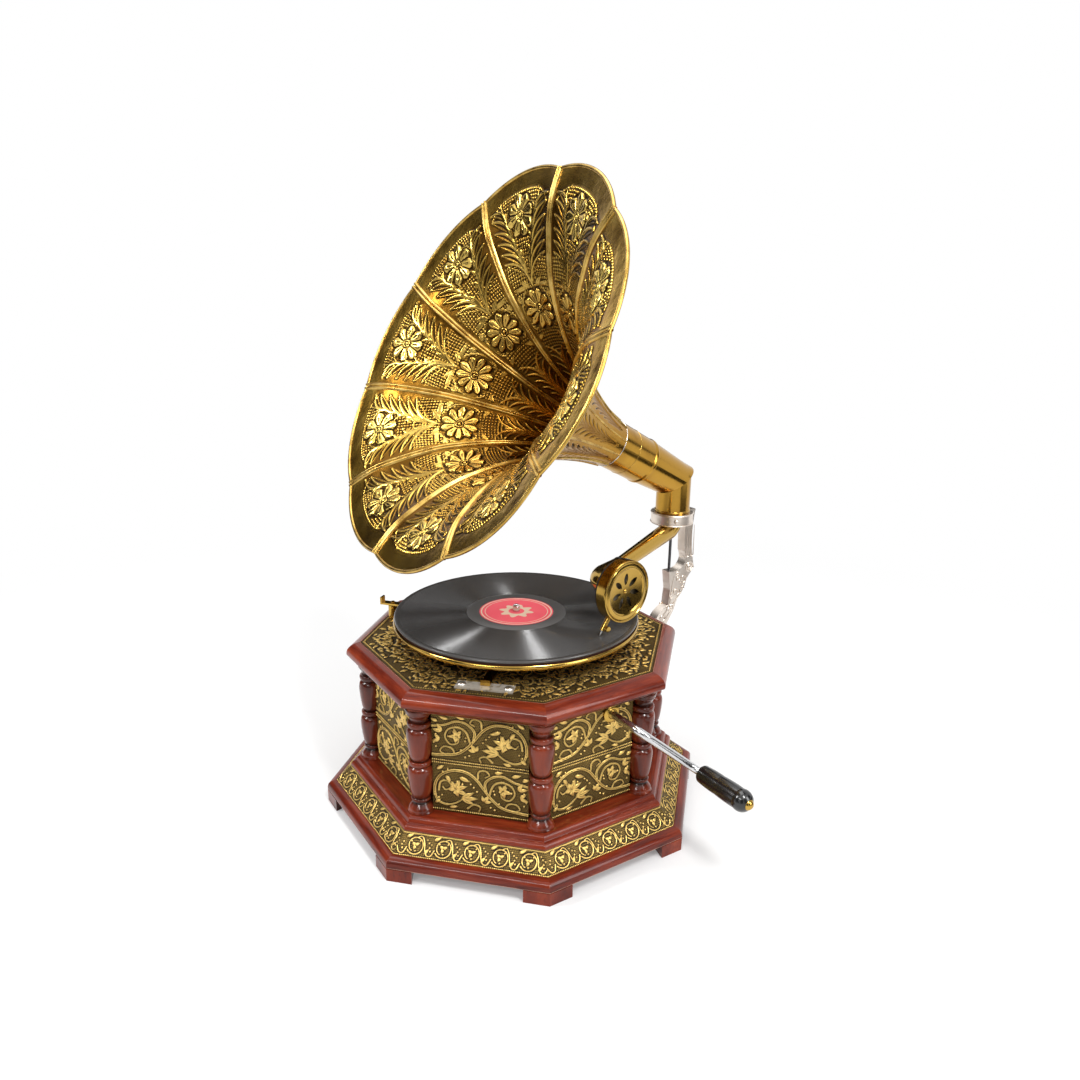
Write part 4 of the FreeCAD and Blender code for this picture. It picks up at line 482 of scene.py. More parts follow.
for index in range(VINE_LOOPS + 1):
    here = x - (index - VINE_LOOPS / 2 + 0.5) * loop
    for path in LOOP_LINES:
        relief = np.maximum(relief, ridge(here, y, path, *VINE_WIDTHS))
    for foot_x, foot_y, heading, length in LOOP_LEAVES:
        relief = np.maximum(relief, leaf(here, y, (foot_x, foot_y), heading, length, 3.2))
    for spot in LOOP_PEARLS:
        relief = np.maximum(relief, pearl(here, y, spot, 0.9))
relief = np.where(y < 2.3, bead_row(x, y - 1.3, 1.8, 0.7) * 0.8, relief)
relief = np.maximum(relief, ridge(x, y, [(-99, 21.4), (99, 21.4)], 1.4) * 0.5)
band_way = np.array([band_rise, 0, band_foot - band_head]) / band_wide
band_base = band_base - band_way * BAND_DEPTH
band_mesh = pressed_sheet("plinth_band", band_base, band_way, relief, BAND_DEPTH, BAND_COLUMNS)
put_round("plinth_band", band_mesh, case_brass, "plinth_band")

# Step moulding
# A run of mahogany with two rounded steps between the plinth and the panelled case. It is mitred at
# the corners, where the lacquer has worn along the joints.
step_low, step_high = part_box("step_moulding")
STEP_NOSE = [(30, 0), (0, 0), (0, 1.6), (1.2, 4.2), (3.6, 5.6), (4.6, 5.4), (5.2, 6.6), (6.4, 9.6)]
step_outline = inside_edge(step_high.x, step_low.z, STEP_NOSE)
step_outline += inside_edge(step_high.x, step_high.z, [(8.6, 0), (30, 0)])
step_mesh = moulding("step_side", soften(step_outline, 1.3 * MM, 3))
put_round("step_side", step_mesh, wood_along, "step_moulding")

# Case walls and embossed panels
# Solid boards behind, and on each a pressed brass sheet in two tiers of scrolling vine, divided by
# rows of beads. The sheets are tacked under the columns.
panel_low, panel_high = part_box("case_panels")
paint(mahogany("mahogany_boards", (1, 1, 0.3)), "case_wall")

PANEL_ROWS = 230
PANEL_COLUMNS = 200
PANEL_HALF = 46.0
PANEL_DEPTH = 1.7 * MM
TIER_GAP = 50.5
panel_tall = (panel_high.z - panel_low.z) / MM
y, x = np.meshgrid(
    np.linspace(0, panel_tall, PANEL_ROWS),
    np.linspace(-PANEL_HALF, PANEL_HALF, PANEL_COLUMNS),
    indexing="ij",
)
x, y = x.ravel(), y.ravel()

# One tier's drawing in millimetres from the middle of its foot: stems with their widths, then leaves
# as foot, heading, length and width, then pearls
TIER_STEMS = [
    (3.6, 3.2, [
        (-44, 15), (-43.5, 26), (-38, 36), (-27, 42), (-14, 42),
        (-4, 36), (4, 26), (12, 16), (24, 8), (50, 5),
    ]),
    (3.2, 1.6, [(-44, 17), (-41, 9), (-33, 5.5), (-24, 8), (-16, 14)]),
    (3.2, 2.6, [(6, 23), (5, 33), (12, 40), (22, 42), (34, 37), (50, 34)]),
    (2.4, 1.6, [(9, 21), (13, 32), (21, 36), (30, 33), (33, 25), (28, 18), (21, 20), (20, 26)]),
    (2.4, 1.4, [(-40, 20), (-38, 29), (-31, 31), (-28, 25), (-33, 21), (-36, 24)]),
    (2.2, 1.4, [(-2, 37), (-1, 44), (5, 46), (9, 42), (5, 39)]),
    (2.2, 1.4, [(24, 9), (27, 14), (34, 15), (38, 10), (33, 7)]),
    (2.2, 1.4, [(-12, 4), (-6, 9), (0, 7), (-1, 2.5)]),
]
TIER_LEAVES = [
    (-24, 23, 20, 13, 5.5), (-24, 23, 65, 11, 5.5), (-24, 23, 115, 9, 5), (-24, 23, -25, 14, 5.5),
    (-24, 23, -70, 9, 5), (-24, 23, 190, 8, 4.5), (-18, 14, 5, 17, 5.5), (-18, 14, 32, 15, 5),
    (-18, 14, -22, 14, 5), (-20, 36, -20, 12, 4.5), (-33, 36, -50, 8, 4), (22, 27, 70, 8, 4.5),
    (22, 27, 130, 7, 4.5), (22, 27, -10, 9, 4.5), (22, 27, -80, 8, 4.5), (36, 30, 60, 9, 4.5),
    (36, 30, 10, 10, 4.5), (38, 22, -20, 9, 4.5), (38, 22, 40, 8, 4), (40, 40, 20, 8, 4),
    (30, 43, 15, 10, 4), (14, 45, 10, 9, 3.6), (-42, 42, 30, 9, 4), (-44, 6, 40, 8, 4),
    (4, 13, 60, 9, 4.5), (4, 13, 10, 8, 4), (4, 13, 110, 7, 4), (-30, 3, 10, 9, 3.6),
]
TIER_PEARLS = [
    (-9, 30), (-6, 27), (-3, 23), (-13, 34), (13, 26), (14, 22.5), (42, 14), (44, 18), (42, 27), (10, 8),
    (14, 6), (-40, 12), (-37, 15), (-36, 40), (-31, 43), (18, 13), (-22, 31), (-17, 29), (30, 26), (25, 31),
]


def vine_tier(x, y):
    """One tier of vine on a stippled ground: grooved stems in two loops, leaf clusters and pearls."""
    height = beaded_ground(x, y)
    for wide, tip, knots in TIER_STEMS:
        path = smooth_path(knots)
        stem = ridge(x, y, path, wide, tip) - 0.7 * ridge(x, y, path, wide * 0.36, tip * 0.36)
        height = np.maximum(height, stem)
    for foot_x, foot_y, heading, length, wide in TIER_LEAVES:
        height = np.maximum(height, leaf(x, y, (foot_x, foot_y), math.radians(heading), length, wide))
    height = np.maximum(height, daisy(x, y, (-24, 23), 4.8, 6, 0.4))
    height = np.maximum(height, daisy(x, y, (22, 27), 4.2, 6, 0.2))
    for spot in TIER_PEARLS:
        height = np.maximum(height, pearl(x, y, spot, 1.3))
    return height


relief = np.where(y < TIER_GAP, vine_tier(x, y - 2.5), vine_tier(-x, y - TIER_GAP - 3.5))
for row_at in (2.6, TIER_GAP + 1.2, TIER_GAP + 4.0, panel_tall - 3):
    relief = np.where(np.abs(y - row_at) < 1.25, bead_row(x, y - row_at, 1.9, 0.8), relief)
panel_face = panel_high.x - 0.9 * MM
panel_base = np.stack([np.full(x.shape, panel_face), x * MM, panel_low.z + y * MM], -1)
panel_way = np.array([1.0, 0, 0])
panel_mesh = pressed_sheet("case_panel", panel_base, panel_way, relief, PANEL_DEPTH, PANEL_COLUMNS)
put_round("case_panel", panel_mesh, case_brass, "case_panels")

# Corner columns
# Turned mahogany balusters, two vases one above the other between rings. They stand on the step at
# the corners, and are made nearly black in the grooves where the turning is thin.
column_low, column_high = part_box("corner_columns")
COLUMN_CIRCLE = 150.5 * MM

TURN_STEPS = 72


def turned_mesh(name, outline, segments=TURN_STEPS, sharp=40):
    """A turned body from its outline of radius and height."""
    points = []
    for radius, height in outline:
        for step in range(segments):
            angle = 2 * math.pi * step / segments
            points.append((radius * math.cos(angle), radius * math.sin(angle), height))
    faces = []
    for row in range(len(outline) - 1):
        here = row * segments
        above = here + segments
        for step in range(segments):
            following = (step + 1) % segments
            faces.append((here + step, here + following, above + following, above + step))
    return mesh_of(name, points, faces, sharp=sharp)


# Radius in millimetres and share of the height, from the step to the rim, one list for each turned part
COLUMN_STRETCHES = [
    [(0.5, 0.0), (12.1, 0.0), (12.2, 0.02), (11.6, 0.04), (9.6, 0.065), (7.9, 0.085), (7.6, 0.1)],
    [(7.6, 0.1), (8.8, 0.104), (9.4, 0.117), (8.8, 0.13), (7.3, 0.135)],
    [
        (8.2, 0.135), (8.7, 0.145), (9.9, 0.18), (10.9, 0.24), (11.6, 0.3),
        (12.1, 0.36), (11.9, 0.395), (11, 0.422), (8.6, 0.445),
    ],
    [(8.2, 0.445), (10.2, 0.452), (10.8, 0.473), (10.2, 0.492), (8.0, 0.497)],
    [
        (8.0, 0.497), (8.7, 0.51), (10, 0.545), (11, 0.605), (11.7, 0.665),
        (12.2, 0.725), (12, 0.76), (11.2, 0.788), (8.8, 0.812),
    ],
    [(8.6, 0.812), (10.6, 0.822), (11.2, 0.845), (10.6, 0.864), (8.4, 0.87)],
    [(8.4, 0.87), (8.8, 0.89), (10.0, 0.92), (11.8, 0.945), (12.2, 0.96), (12.2, 1.0), (0.5, 1.0)],
]
GROOVE_RADIUS = 7.9
GROOVE_FADE = 2.0
column_tall = column_high.z - column_low.z
column_outline = []
for stretch in COLUMN_STRETCHES:
    knots = [(radius * MM, column_low.z + share * column_tall) for radius, share in stretch]
    column_outline += smooth_path(knots)
# How dark each ring of the outline is: fully dark where the column is thinner than the groove radius
column_dark = [1 - (point[0] / MM - GROOVE_RADIUS) / GROOVE_FADE for point in column_outline]
column_mesh = turned_mesh("corner_column", column_outline)
mark(column_mesh, "groove", np.repeat(np.clip(column_dark, 0, 1), TURN_STEPS))


def column_wood():
    """The same mahogany, nearly black in the turned grooves where the column is thin."""
    wood = Finish(
        "mahogany_columns", {"Coat Roughness": 0.1, "Coat IOR": 1.38, "Specular IOR Level": 0.1}
    )
    grain = wood.noise(30, 4, (1.6, 1.6, 0.3), 0.5)
    tone = wood.ramp(
        grain,
        (0.32, (0.045, 0.006, 0.002)),
        (0.5, (0.13, 0.017, 0.005)),
        (0.68, (0.23, 0.034, 0.01)),
    )
    tone = wood.mix(wood.attribute("groove") * 0.9, tone, (0.006, 0.003, 0.002))
    chip = wood.step(wood.noise(140, 3), 0.7, 0.77)
    tone = wood.mix(chip * 0.35, tone, (0.36, 0.17, 0.11))
    wood.give({"Base Color": tone, "Roughness": 0.28 + grain * 0.14, "Coat Weight": 0.9 - chip * 0.5})
    wood.bump(grain, 0.0001, 0.25)
    return wood.material


column_finish = column_wood()
for index in range(SIDES):
    angle = (index + 0.5) * SIDE_TURN
    spot = Matrix.Translation((COLUMN_CIRCLE * math.cos(angle), COLUMN_CIRCLE * math.sin(angle), 0))
    place = spot @ Matrix.Rotation(angle * 3.1, 4, "Z")
    column = put("corner_column_%d" % (index + 1), column_mesh, column_finish, "base", place)
    if index == 0:
        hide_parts("corner_columns")

# Top board, rim and top plate
# The lid is a thick board edged with a bold mitred moulding. Its face is covered by another pressed
# brass sheet with a beaded border, cut round the spindle.
paint(mahogany("mahogany_top", (0.4, 1, 1)), "top_board")
rim_low, rim_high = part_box("top_rim")
rim_edge = 160.2 * MM
rim_inner = 146.6 * MM
rim_wide = rim_edge - rim_inner
rim_tall = rim_high.z - rim_low.z
# Shares of the moulding's width and height
RIM_STEPS = [
    (0.0, 0.0), (0.34, 0.0), (0.42, 0.1), (0.6, 0.22), (0.74, 0.27), (0.9, 0.3), (1.0, 0.38),
    (1.0, 0.52), (0.93, 0.66), (0.76, 0.8), (0.45, 0.93), (0.06, 1.0), (0.0, 0.96),
]
rim_outline = [(rim_inner + rim_wide * run, rim_low.z + rim_tall * rise) for run, rise in RIM_STEPS]
rim_mesh = moulding("rim_side", soften(rim_outline, 1.6 * MM, 3))
put_round("rim_side", rim_mesh, wood_along, "top_rim")

plate_low, plate_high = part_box("top_plate")
TOP_ROWS = 120
TOP_COLUMNS = 190
TOP_DEPTH = 1.3 * MM
TOP_HOLE = 7.0
SCROLL_ROWS = (12.5, 31, 52, 73, 92, 110, 126)
SCROLL_SPACE = 20
LOOSE_LEAVES = 95
top_edge = plate_high.x / MM
out, along = np.meshgrid(
    np.linspace(0, 1, TOP_ROWS) ** 0.7, np.linspace(-1, 1, TOP_COLUMNS), indexing="ij"
)
y = (TOP_HOLE + (top_edge - TOP_HOLE) * out).ravel()
x = y * MITRE * along.ravel()
random = np.random.default_rng(7)
relief = dots(x, y + 0.3 * x, 1.9, 1.4) * 0.2
for row, row_y in enumerate(SCROLL_ROWS):
    half_row = row_y * MITRE
    count = max(1, round(2 * half_row / SCROLL_SPACE))
    for index in range(count):
        px = -half_row + (index + 0.5) * 2 * half_row / count + random.uniform(-2, 2)
        py = row_y + random.uniform(-2, 2)
        begin = random.uniform(0, 360)
        hand = 1 if (index + row) % 2 else -1
        scroll = arc((px, py), 8.2, begin, begin + hand * 430, 30, 0.7)
        relief = np.maximum(relief, ridge(x, y, scroll, 1.9))
        for turn in (0.5, 1.7, 3.0, 4.4):
            angle = math.radians(begin) + turn
            foot = (px + 7 * math.cos(angle), py + 7 * math.sin(angle))
            shoot = leaf(x, y, foot, angle + 0.7 * hand, random.uniform(7, 10), 3.8)
            relief = np.maximum(relief, shoot)
        relief = np.maximum(relief, 0.8 * daisy(x, y, (px, py), 3.0, 5, begin))
for _ in range(LOOSE_LEAVES):
    py = random.uniform(100, top_edge - 7)
    px = random.uniform(-1, 1) * (py * MITRE - 4)
    turn = random.uniform(0, 2 * math.pi)
    relief = np.maximum(relief, leaf(x, y, (px, py), turn, random.uniform(5, 8.5), 2.9))
border = top_edge - 2.8
relief = np.where(y > border - 1.4, bead_row(x, y - border, 2.3, 0.9) * 0.8, relief)
top_base = np.stack([y * MM, x * MM, np.full(x.shape, plate_high.z - 0.2 * MM)], -1)
top_way = np.array([0, 0, 1.0])
top_mesh = pressed_sheet("top_plate", top_base, top_way, relief, TOP_DEPTH, TOP_COLUMNS)
put_round("top_plate", top_mesh, case_brass, "top_plate")

# Spring motor
# Hidden under the lid: two brass plates on steel pillars, hung from rubber, with the mainspring
# barrel, wheel train, governor and winding work between them.


def bright_metal(name, colour, rough, scratch=0.25, stain=None):
    """Polished or machined metal with fine rubbing marks and a little tarnish."""
    metal = Finish(name, {"Metallic": 1.0})
    rub = metal.noise(420, 3, (1, 1, 0.15), 0.7)
    cloud = metal.noise(24, 4)
    dull = tuple(part * 0.55 for part in colour) if stain is None else stain
    tone = metal.mix(metal.step(cloud, 0.5, 0.75) * 0.55, colour, dull)
    metal.give({"Base Color": tone, "Roughness": rough + (rub - 0.5) * scratch * 0.4 + cloud * 0.06})
    metal.bump(rub, 0.00006, scratch)
    return metal.material


steel = bright_metal("machined_steel", (0.56, 0.56, 0.55), 0.3)
chrome = bright_metal("chrome_plate", (0.68, 0.68, 0.69), 0.2, 0.1)
blued = bright_metal("blued_steel", (0.1, 0.1, 0.11), 0.3)
gear_brass = bright_metal("gear_brass", (0.6, 0.4, 0.13), 0.28)
brass = bright_metal("polished_brass", (0.52, 0.325, 0.07), 0.14, 0.2, (0.3, 0.16, 0.03))


def black_rubber():
    """Matt rubber with a fine bloom."""
    rubber = Finish("black_rubber", {"Specular IOR Level": 0.3})
    bloom = rubber.noise(160, 3)
    tone = rubber.mix(bloom, (0.012, 0.012, 0.012), (0.035, 0.034, 0.033))
    rubber.give({"Base Color": tone, "Roughness": 0.5 + bloom * 0.25})
    rubber.bump(bloom, 0.0001, 0.4)
    return rubber.material


rubber = black_rubber()
paint(steel, "motor_screws", "motor_pillars", "barrel_arbor", "ratchet_wheel", "click", "click_pin")
paint(steel, "spindle_pinion", "governor_shaft", "winding_pinion")
paint(gear_brass, "motor_plate", "motor_lower_plate", "crown_wheel", "spring_barrel", "intermediate_gear")
paint(gear_brass, "spindle_wheel", "governor_disc", "governor_weights")
paint(blued, "mainspring")
paint(rubber, "motor_grommets")

# Turntable and record
# A brass-rimmed platter with a felt mat turns on the spindle. The record is pressed shellac with
# fine grooves, and carries a plain red paper label.
paint(brass, "platter")
paint(chrome, "spindle")


def dark_felt():
    """Pressed wool with short fibres."""
    felt = Finish("platter_felt", {"Roughness": 0.95, "Specular IOR Level": 0.15})
    fibre = felt.noise(700, 4, (1, 1, 1), 0.8)
    felt.give({"Base Color": felt.mix(fibre, (0.012, 0.005, 0.004), (0.05, 0.018, 0.015))})
    felt.bump(fibre, 0.0003, 0.8)
    return felt.material


paint(dark_felt(), "platter_felt")
record_low, record_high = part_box("record")
GROOVE_PITCH = 0.9
GROOVE_BEGIN = 51.0
HOLE_RADIUS = 3.7
# One groove as distance inwards and depth, in millimetres
GROOVE = [(0, 0), (0.5, 0), (0.7, 0.24)]
record_edge = record_high.x / MM
label_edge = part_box("record_label")[1].x / MM
record_top = record_high.z
record_half = (record_top - record_low.z) / 2
record_middle = (record_low.z + record_top) / 2
record_outline = [(HOLE_RADIUS * MM, record_low.z), ((record_edge - 0.9) * MM, record_low.z)]
for step in range(7):
    angle = math.radians(-90 + 30 * step)
    edge_out = (record_edge - 1.0 + math.cos(angle)) * MM
    record_outline.append((edge_out, record_middle + record_half * math.sin(angle)))
radius = record_edge - 4.5
while radius > GROOVE_BEGIN:
    for inward, drop in GROOVE:
        record_outline.append(((radius - inward) * MM, record_top - drop * MM))
    radius -= GROOVE_PITCH
for radius, drop in (
    (GROOVE_BEGIN - 0.8, 0.12),
    (label_edge + 1.2, 0.12),
    (label_edge + 0.4, 0.0),
    (HOLE_RADIUS, 0.0),
):
    record_outline.append((radius * MM, record_top - drop * MM))


def round_place(finish):
    """East, north and the distance from a disc's axis."""
    here = finish.node("ShaderNodeTexCoord", output=3)
    east, north = [finish.node("ShaderNodeSeparateXYZ", None, {0: here}, axis) for axis in (0, 1)]
    return east, north, (east * east + north * north) ** 0.5


def shellac():
    """Black shellac: the groove walls catch the light in two fans, and the run-out has a painted sheen."""
    disc = Finish("record_shellac", {"Specular IOR Level": 0.6, "Coat Roughness": 0.2})
    radius = round_place(disc)[2]
    track = disc.noise(14, 3)
    dust = disc.step(disc.noise(900, 2), 0.72, 0.8)
    # Painted sheen: the smooth run-out inside the grooves is made lighter in colour, and it is also rougher
    run_out_painted_sheen = 1 - disc.step(radius, 0.0505, 0.0515)
    tone = disc.mix(run_out_painted_sheen, (0.05, 0.047, 0.045), (0.085, 0.081, 0.078))
    tone = disc.mix(dust * 0.25, tone, (0.1, 0.1, 0.1))
    disc.give({"Base Color": tone, "Roughness": 0.22 + track * 0.06 + run_out_painted_sheen * 0.12})
    disc.give({"Coat Weight": 0.2 + track * 0.1})
    return disc.material


record_mesh = turned_mesh("record", record_outline, 180, 30)
record = put("record", record_mesh, shellac(), "turntable")
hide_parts("record")


def label_paper():
    """Red paper with thin cream rings and a plain eight-leaf rosette, faded and scuffed."""
    paper = Finish("label_paper", {"Specular IOR Level": 0.25})
    east, north, radius = round_place(paper)
    turn = paper.node("ShaderNodeMath", {"operation": "ARCTAN2"}, {0: north, 1: east})
    wave = paper.node("ShaderNodeMath", {"operation": "COSINE"}, {0: turn * 8})
    ring = paper.step(radius, 0.0352, 0.0356) - paper.step(radius, 0.0364, 0.0368)
    inner = paper.step(radius, 0.0318, 0.032) - paper.step(radius, 0.0325, 0.0327)
    petals = paper.step(radius + wave * -0.0028, 0.0150, 0.0156)
    rosette = (1 - petals) * paper.step(radius, 0.0080, 0.0084)
    print_mask = ring + inner + rosette * 0.85
    age = paper.noise(60, 4)
    ground = paper.mix(age, (0.92, 0.085, 0.13), (0.95, 0.16, 0.19))
    tone = paper.mix(print_mask, ground, (0.82, 0.7, 0.5))
    paper.give({"Base Color": tone, "Roughness": 0.42 + age * 0.2})
    paper.bump(paper.noise(500, 3), 0.00008, 0.4)
    return paper.material


paint(label_paper(), "record_label")

# Winding crank
# A steel rod bent twice and chromium plated, with a black turned grip that runs on its end and a
# brass rivet that keeps the grip on. It enters the case through a brass bush.
paint(chrome, "crank_rod")
paint(brass, "crank_bush", "handle_rivet")


def black_gloss():
    """Ebonised grip: glossy, with fine hairline scratches."""
    sockets = {"Base Color": (0.006, 0.006, 0.006), "Coat Roughness": 0.08, "Specular IOR Level": 0.5}
    grip = Finish("black_grip", sockets)
    swirl = grip.noise(90, 3)
    grip.give({"Roughness": 0.22 + swirl * 0.06, "Coat Weight": 0.3 + swirl * 0.3})
    return grip.material


paint(black_gloss(), "crank_handle")

# Back bracket
# One aluminium casting, screwed to the back of the case: a ring for the horn, a shelf for the arm's
# pivot and scrolls cast in relief on both faces.


def cast_aluminium():
    """Polished casting in patches of brighter and greyer metal."""
    cast = Finish("cast_aluminium", {"Metallic": 1.0})
    grain = cast.noise(240, 4)
    cloud = cast.noise(30, 4)
    tone = cast.mix(cast.step(cloud, 0.4, 0.7), (0.92, 0.83, 0.74), (0.66, 0.57, 0.49))
    cast.give({"Base Color": tone, "Roughness": 0.24 + cloud * 0.16})
    cast.bump(grain * 0.4 + cloud, 0.0006, 0.4)
    return cast.material


aluminium = cast_aluminium()
paint(aluminium, "back_bracket", "clamp_screw")
paint(blued, "pivot_pin")
paint(steel, "bracket_screws")

BEAD_SIDES = 8


def ring_round(middle, first, second, sides=BEAD_SIDES):
    """Points round a middle, from one direction to another and on to the start again."""
    turns = [2 * math.pi * step / sides for step in range(sides + 1)]
    return [middle + first * math.cos(turn) + second * math.sin(turn) for turn in turns]


def tube_mesh(name, path, radius):
    """A round bead that follows a path, thinner towards its ends."""
    path = [Vector(point) for point in path]
    points = []
    for index, spot in enumerate(path):
        way = (path[min(index + 1, len(path) - 1)] - path[max(index - 1, 0)]).normalized()
        level = Vector((1, 0, 0)) if abs(way.x) < 0.9 else Vector((0, 1, 0))
        across = way.cross(level).normalized()
        level = across.cross(way)
        ends = min(index, len(path) - 1 - index) / 2
        reach = radius * min(1.0, 0.35 + 0.65 * ends)
        points += ring_round(spot, across * reach, level * reach)
    return grid_mesh(name, points, BEAD_SIDES + 1, 180)


def curl(middle, radius, begin, end):
    """A drawn-in scroll on the bracket's flat side."""
    return arc(middle, radius, begin, end, 26, 0.75)


BRACKET_SIDE = 6.0 * MM
# Beads on the flat side as thickness and line, in millimetres along Y and Z
BRACKET_LINES = [
    (0.8, [
        (225.2, 263), (225.0, 246), (224.9, 228), (226.2, 225.4), (227.6, 225.4), (228.4, 228), (228.4, 263),
    ]),
    (0.8, [
        (231.2, 263), (231.4, 246), (231.6, 228), (232.8, 225.6), (234.4, 225.6), (235.4, 228), (234.6, 263),
    ]),
    (0.9, arc((231, 213), 5.2, 0, 360, 24)),
    (0.9, arc((231, 213), 2.4, 0, 360, 14)),
    (0.9, curl((222, 200), 6.0, 200, 620)),
    (0.9, curl((213, 186), 5.6, 20, -400)),
    (0.9, curl((206, 168), 4.8, 200, 600)),
    (0.9, curl((194, 157), 4.8, 20, -380)),
    (0.9, curl((177, 145), 4.4, 200, 580)),
    (0.8, arc((215, 201), 2.2, 0, 360, 14)),
    (0.8, arc((222.5, 189), 2.0, 0, 360, 14)),
    (0.8, arc((205, 180), 1.8, 0, 360, 14)),
    (0.8, arc((201, 169), 1.8, 0, 360, 14)),
    (0.8, arc((186, 151), 1.8, 0, 360, 14)),
    (0.9, curl((213, 208), 2.6, 180, 560)),
    (0.8, [(228, 204), (225, 192), (219, 182), (212, 175), (206, 163.5), (196, 150.5), (182, 141)]),
    (0.8, [(208, 206), (206.5, 196), (205.5, 186), (204.5, 176), (199.5, 164), (188, 152), (170, 142)]),
]
for index, (thick, line_points) in enumerate(BRACKET_LINES):
    for hand, side_name in ((1, "right"), (-1, "left")):
        line_path = [(hand * BRACKET_SIDE, py * MM, pz * MM) for py, pz in line_points]
        bead_mesh = tube_mesh("bracket_bead_%d" % index, line_path, thick * MM)
        bead_name = "bracket_bead_%d_%s" % (index + 1, side_name)
        put(bead_name, bead_mesh, aluminium, "base")

RING_LOW = 269.0 * MM
RING_RADIUS = 23.5 * MM
HOOP_THICK = 0.8 * MM
ARM_AXIS = 0.205
hoop = arc((0, 0), RING_RADIUS, 0, 360, 72)
for index, height in enumerate((0.9, 12.1)):
    points = []
    for px, py in hoop:
        outward = Vector((px, py, 0)).normalized() * HOOP_THICK
        middle = Vector((px, py + ARM_AXIS, RING_LOW + height * MM))
        points += ring_round(middle, outward, Vector((0, 0, HOOP_THICK)))
    hoop_mesh = grid_mesh("bracket_hoop", points, BEAD_SIDES + 1, 180)
    put("bracket_hoop_%d" % (index + 1), hoop_mesh, aluminium, "base")

# Horn elbow and collar
# Rolled and soldered brass tube: a short upright, a mitred knee and a tapered collar that takes the
# narrow ends of the petals.
# Painted shade: a darker copy of the polished brass, for the elbow and collar
painted_shade_brass = bright_metal("painted_shade_brass", (0.48, 0.265, 0.042), 0.16, 0.2, (0.26, 0.12, 0.018))
paint(painted_shade_brass, "elbow", "horn_collar")
HORN_TILT = math.radians(27.8)
HORN_FOOT = Vector((0, ARM_AXIS, 0.319))
horn_place = Matrix.Translation(HORN_FOOT) @ Matrix.Rotation(math.pi / 2 - HORN_TILT, 4, "X")
solder = bright_metal("solder_line", (0.78, 0.76, 0.72), 0.3)


def hoop_outline(radius, height, thick):
    """A half-round hoop lying on a tube."""
    return [
        ((radius + thick * math.cos(angle)) * MM, (height + thick * math.sin(angle)) * MM)
        for angle in np.linspace(-math.pi / 2, math.pi / 2, 7)
    ]


for name, radius, height, thick, finish in (
    ("solder_line", 25.55, 104.4, 0.55, solder),
    ("collar_edge", 25.0, 82.0, 0.5, brass),
    ("collar_lap", 24.2, 55.4, 0.7, brass),
):
    hoop_mesh = turned_mesh(name, hoop_outline(radius, height, thick), 96, 180)
    put(name, hoop_mesh, finish, "horn", horn_place)
foot_hoop = turned_mesh("elbow_bead", hoop_outline(19.0, 284.2, 1.0), 96, 180)
foot_place = Matrix.Translation((0, ARM_AXIS, 0))
put("elbow_bead", foot_hoop, brass, "horn", foot_place)

# Horn petals
# Ten brass petals, each pressed with flowers and leaves, browned in the hollows and rubbed bright
# on top. Their edges are folded together into double seams and the rim is rolled.
PETALS = 10
PETAL_TURN = 2 * math.pi / PETALS
PETAL_BULGE = 6.5
PETAL_THICK = 1.0
HORN_ROLL = math.radians(4.4)
THROAT_RADIUS = 25.6
MOUTH_RADIUS = 196.0
THROAT_AT = 105.0
MOUTH_AT = 295.0

# Shares of the depth back from the rim, of the way out to the mouth and of the bulge, throat first
PETAL_LINE = [
    (1.0, 0.0, 0.0), (0.88, 0.027, 0.02), (0.76, 0.07, 0.05), (0.62, 0.137, 0.1), (0.47, 0.235, 0.17),
    (0.36, 0.331, 0.25), (0.21, 0.496, 0.42), (0.11, 0.66, 0.62), (0.045, 0.795, 0.8), (0.0, 1.0, 1.0),
]
horn_origin = np.array([MOUTH_AT, THROAT_RADIUS, 0])
horn_spans = np.array([THROAT_AT - MOUTH_AT, MOUTH_RADIUS - THROAT_RADIUS, PETAL_BULGE])
horn_knots = horn_origin + np.array(PETAL_LINE) * horn_spans


def run_along(points):
    """Distance along a line of points of height and radius."""
    steps = np.hypot(np.diff(points[:, 0]), np.diff(points[:, 1]))
    return np.concatenate([[0], np.cumsum(steps)])


chord = run_along(horn_knots)


def spline(knots_at, knots, at):
    """Natural cubic through knots."""
    count = len(knots_at)
    gap = np.diff(knots_at)
    matrix = np.zeros((count, count))
    right = np.zeros((count,) + knots.shape[1:])
    matrix[0, 0] = matrix[-1, -1] = 1
    for index in range(1, count - 1):
        matrix[index, index - 1] = gap[index - 1]
        matrix[index, index] = 2 * (gap[index - 1] + gap[index])
        matrix[index, index + 1] = gap[index]
        slope_after = (knots[index + 1] - knots[index]) / gap[index]
        slope_before = (knots[index] - knots[index - 1]) / gap[index - 1]
        right[index] = 6 * (slope_after - slope_before)
    bend = np.linalg.solve(matrix, right)
    cell = np.clip(np.searchsorted(knots_at, at) - 1, 0, count - 2)
    a = ((knots_at[cell + 1] - at) / gap[cell])[:, None]
    b = 1 - a
    wide = (gap[cell] ** 2 / 6)[:, None]
    curve = (a**3 - a) * bend[cell] + (b**3 - b) * bend[cell + 1]
    return a * knots[cell] + b * knots[cell + 1] + curve * wide


PETAL_ROWS = 330
PETAL_COLUMNS = 150
fine = spline(chord, horn_knots, np.linspace(0, chord[-1], 2000))
fine_run = run_along(fine)
petal_run = fine_run[-1]
from_rim = np.linspace(petal_run, 0, PETAL_ROWS)
line = np.stack([np.interp(petal_run - from_rim, fine_run, fine[:, k]) for k in range(3)], -1)
share = np.linspace(-1, 1, PETAL_COLUMNS)


def petal_surface(shares):
    """Points of the petal sheet in the horn's own frame, with its middle on +Y."""
    turn = shares * PETAL_TURN / 2
    radius = line[:, 1:2] + line[:, 2:3] * (1 - shares[None, :] ** 2) - PETAL_THICK
    height = np.repeat(line[:, 0:1], len(shares), 1)
    return np.stack([radius * np.sin(turn), radius * np.cos(turn), height], -1) * MM


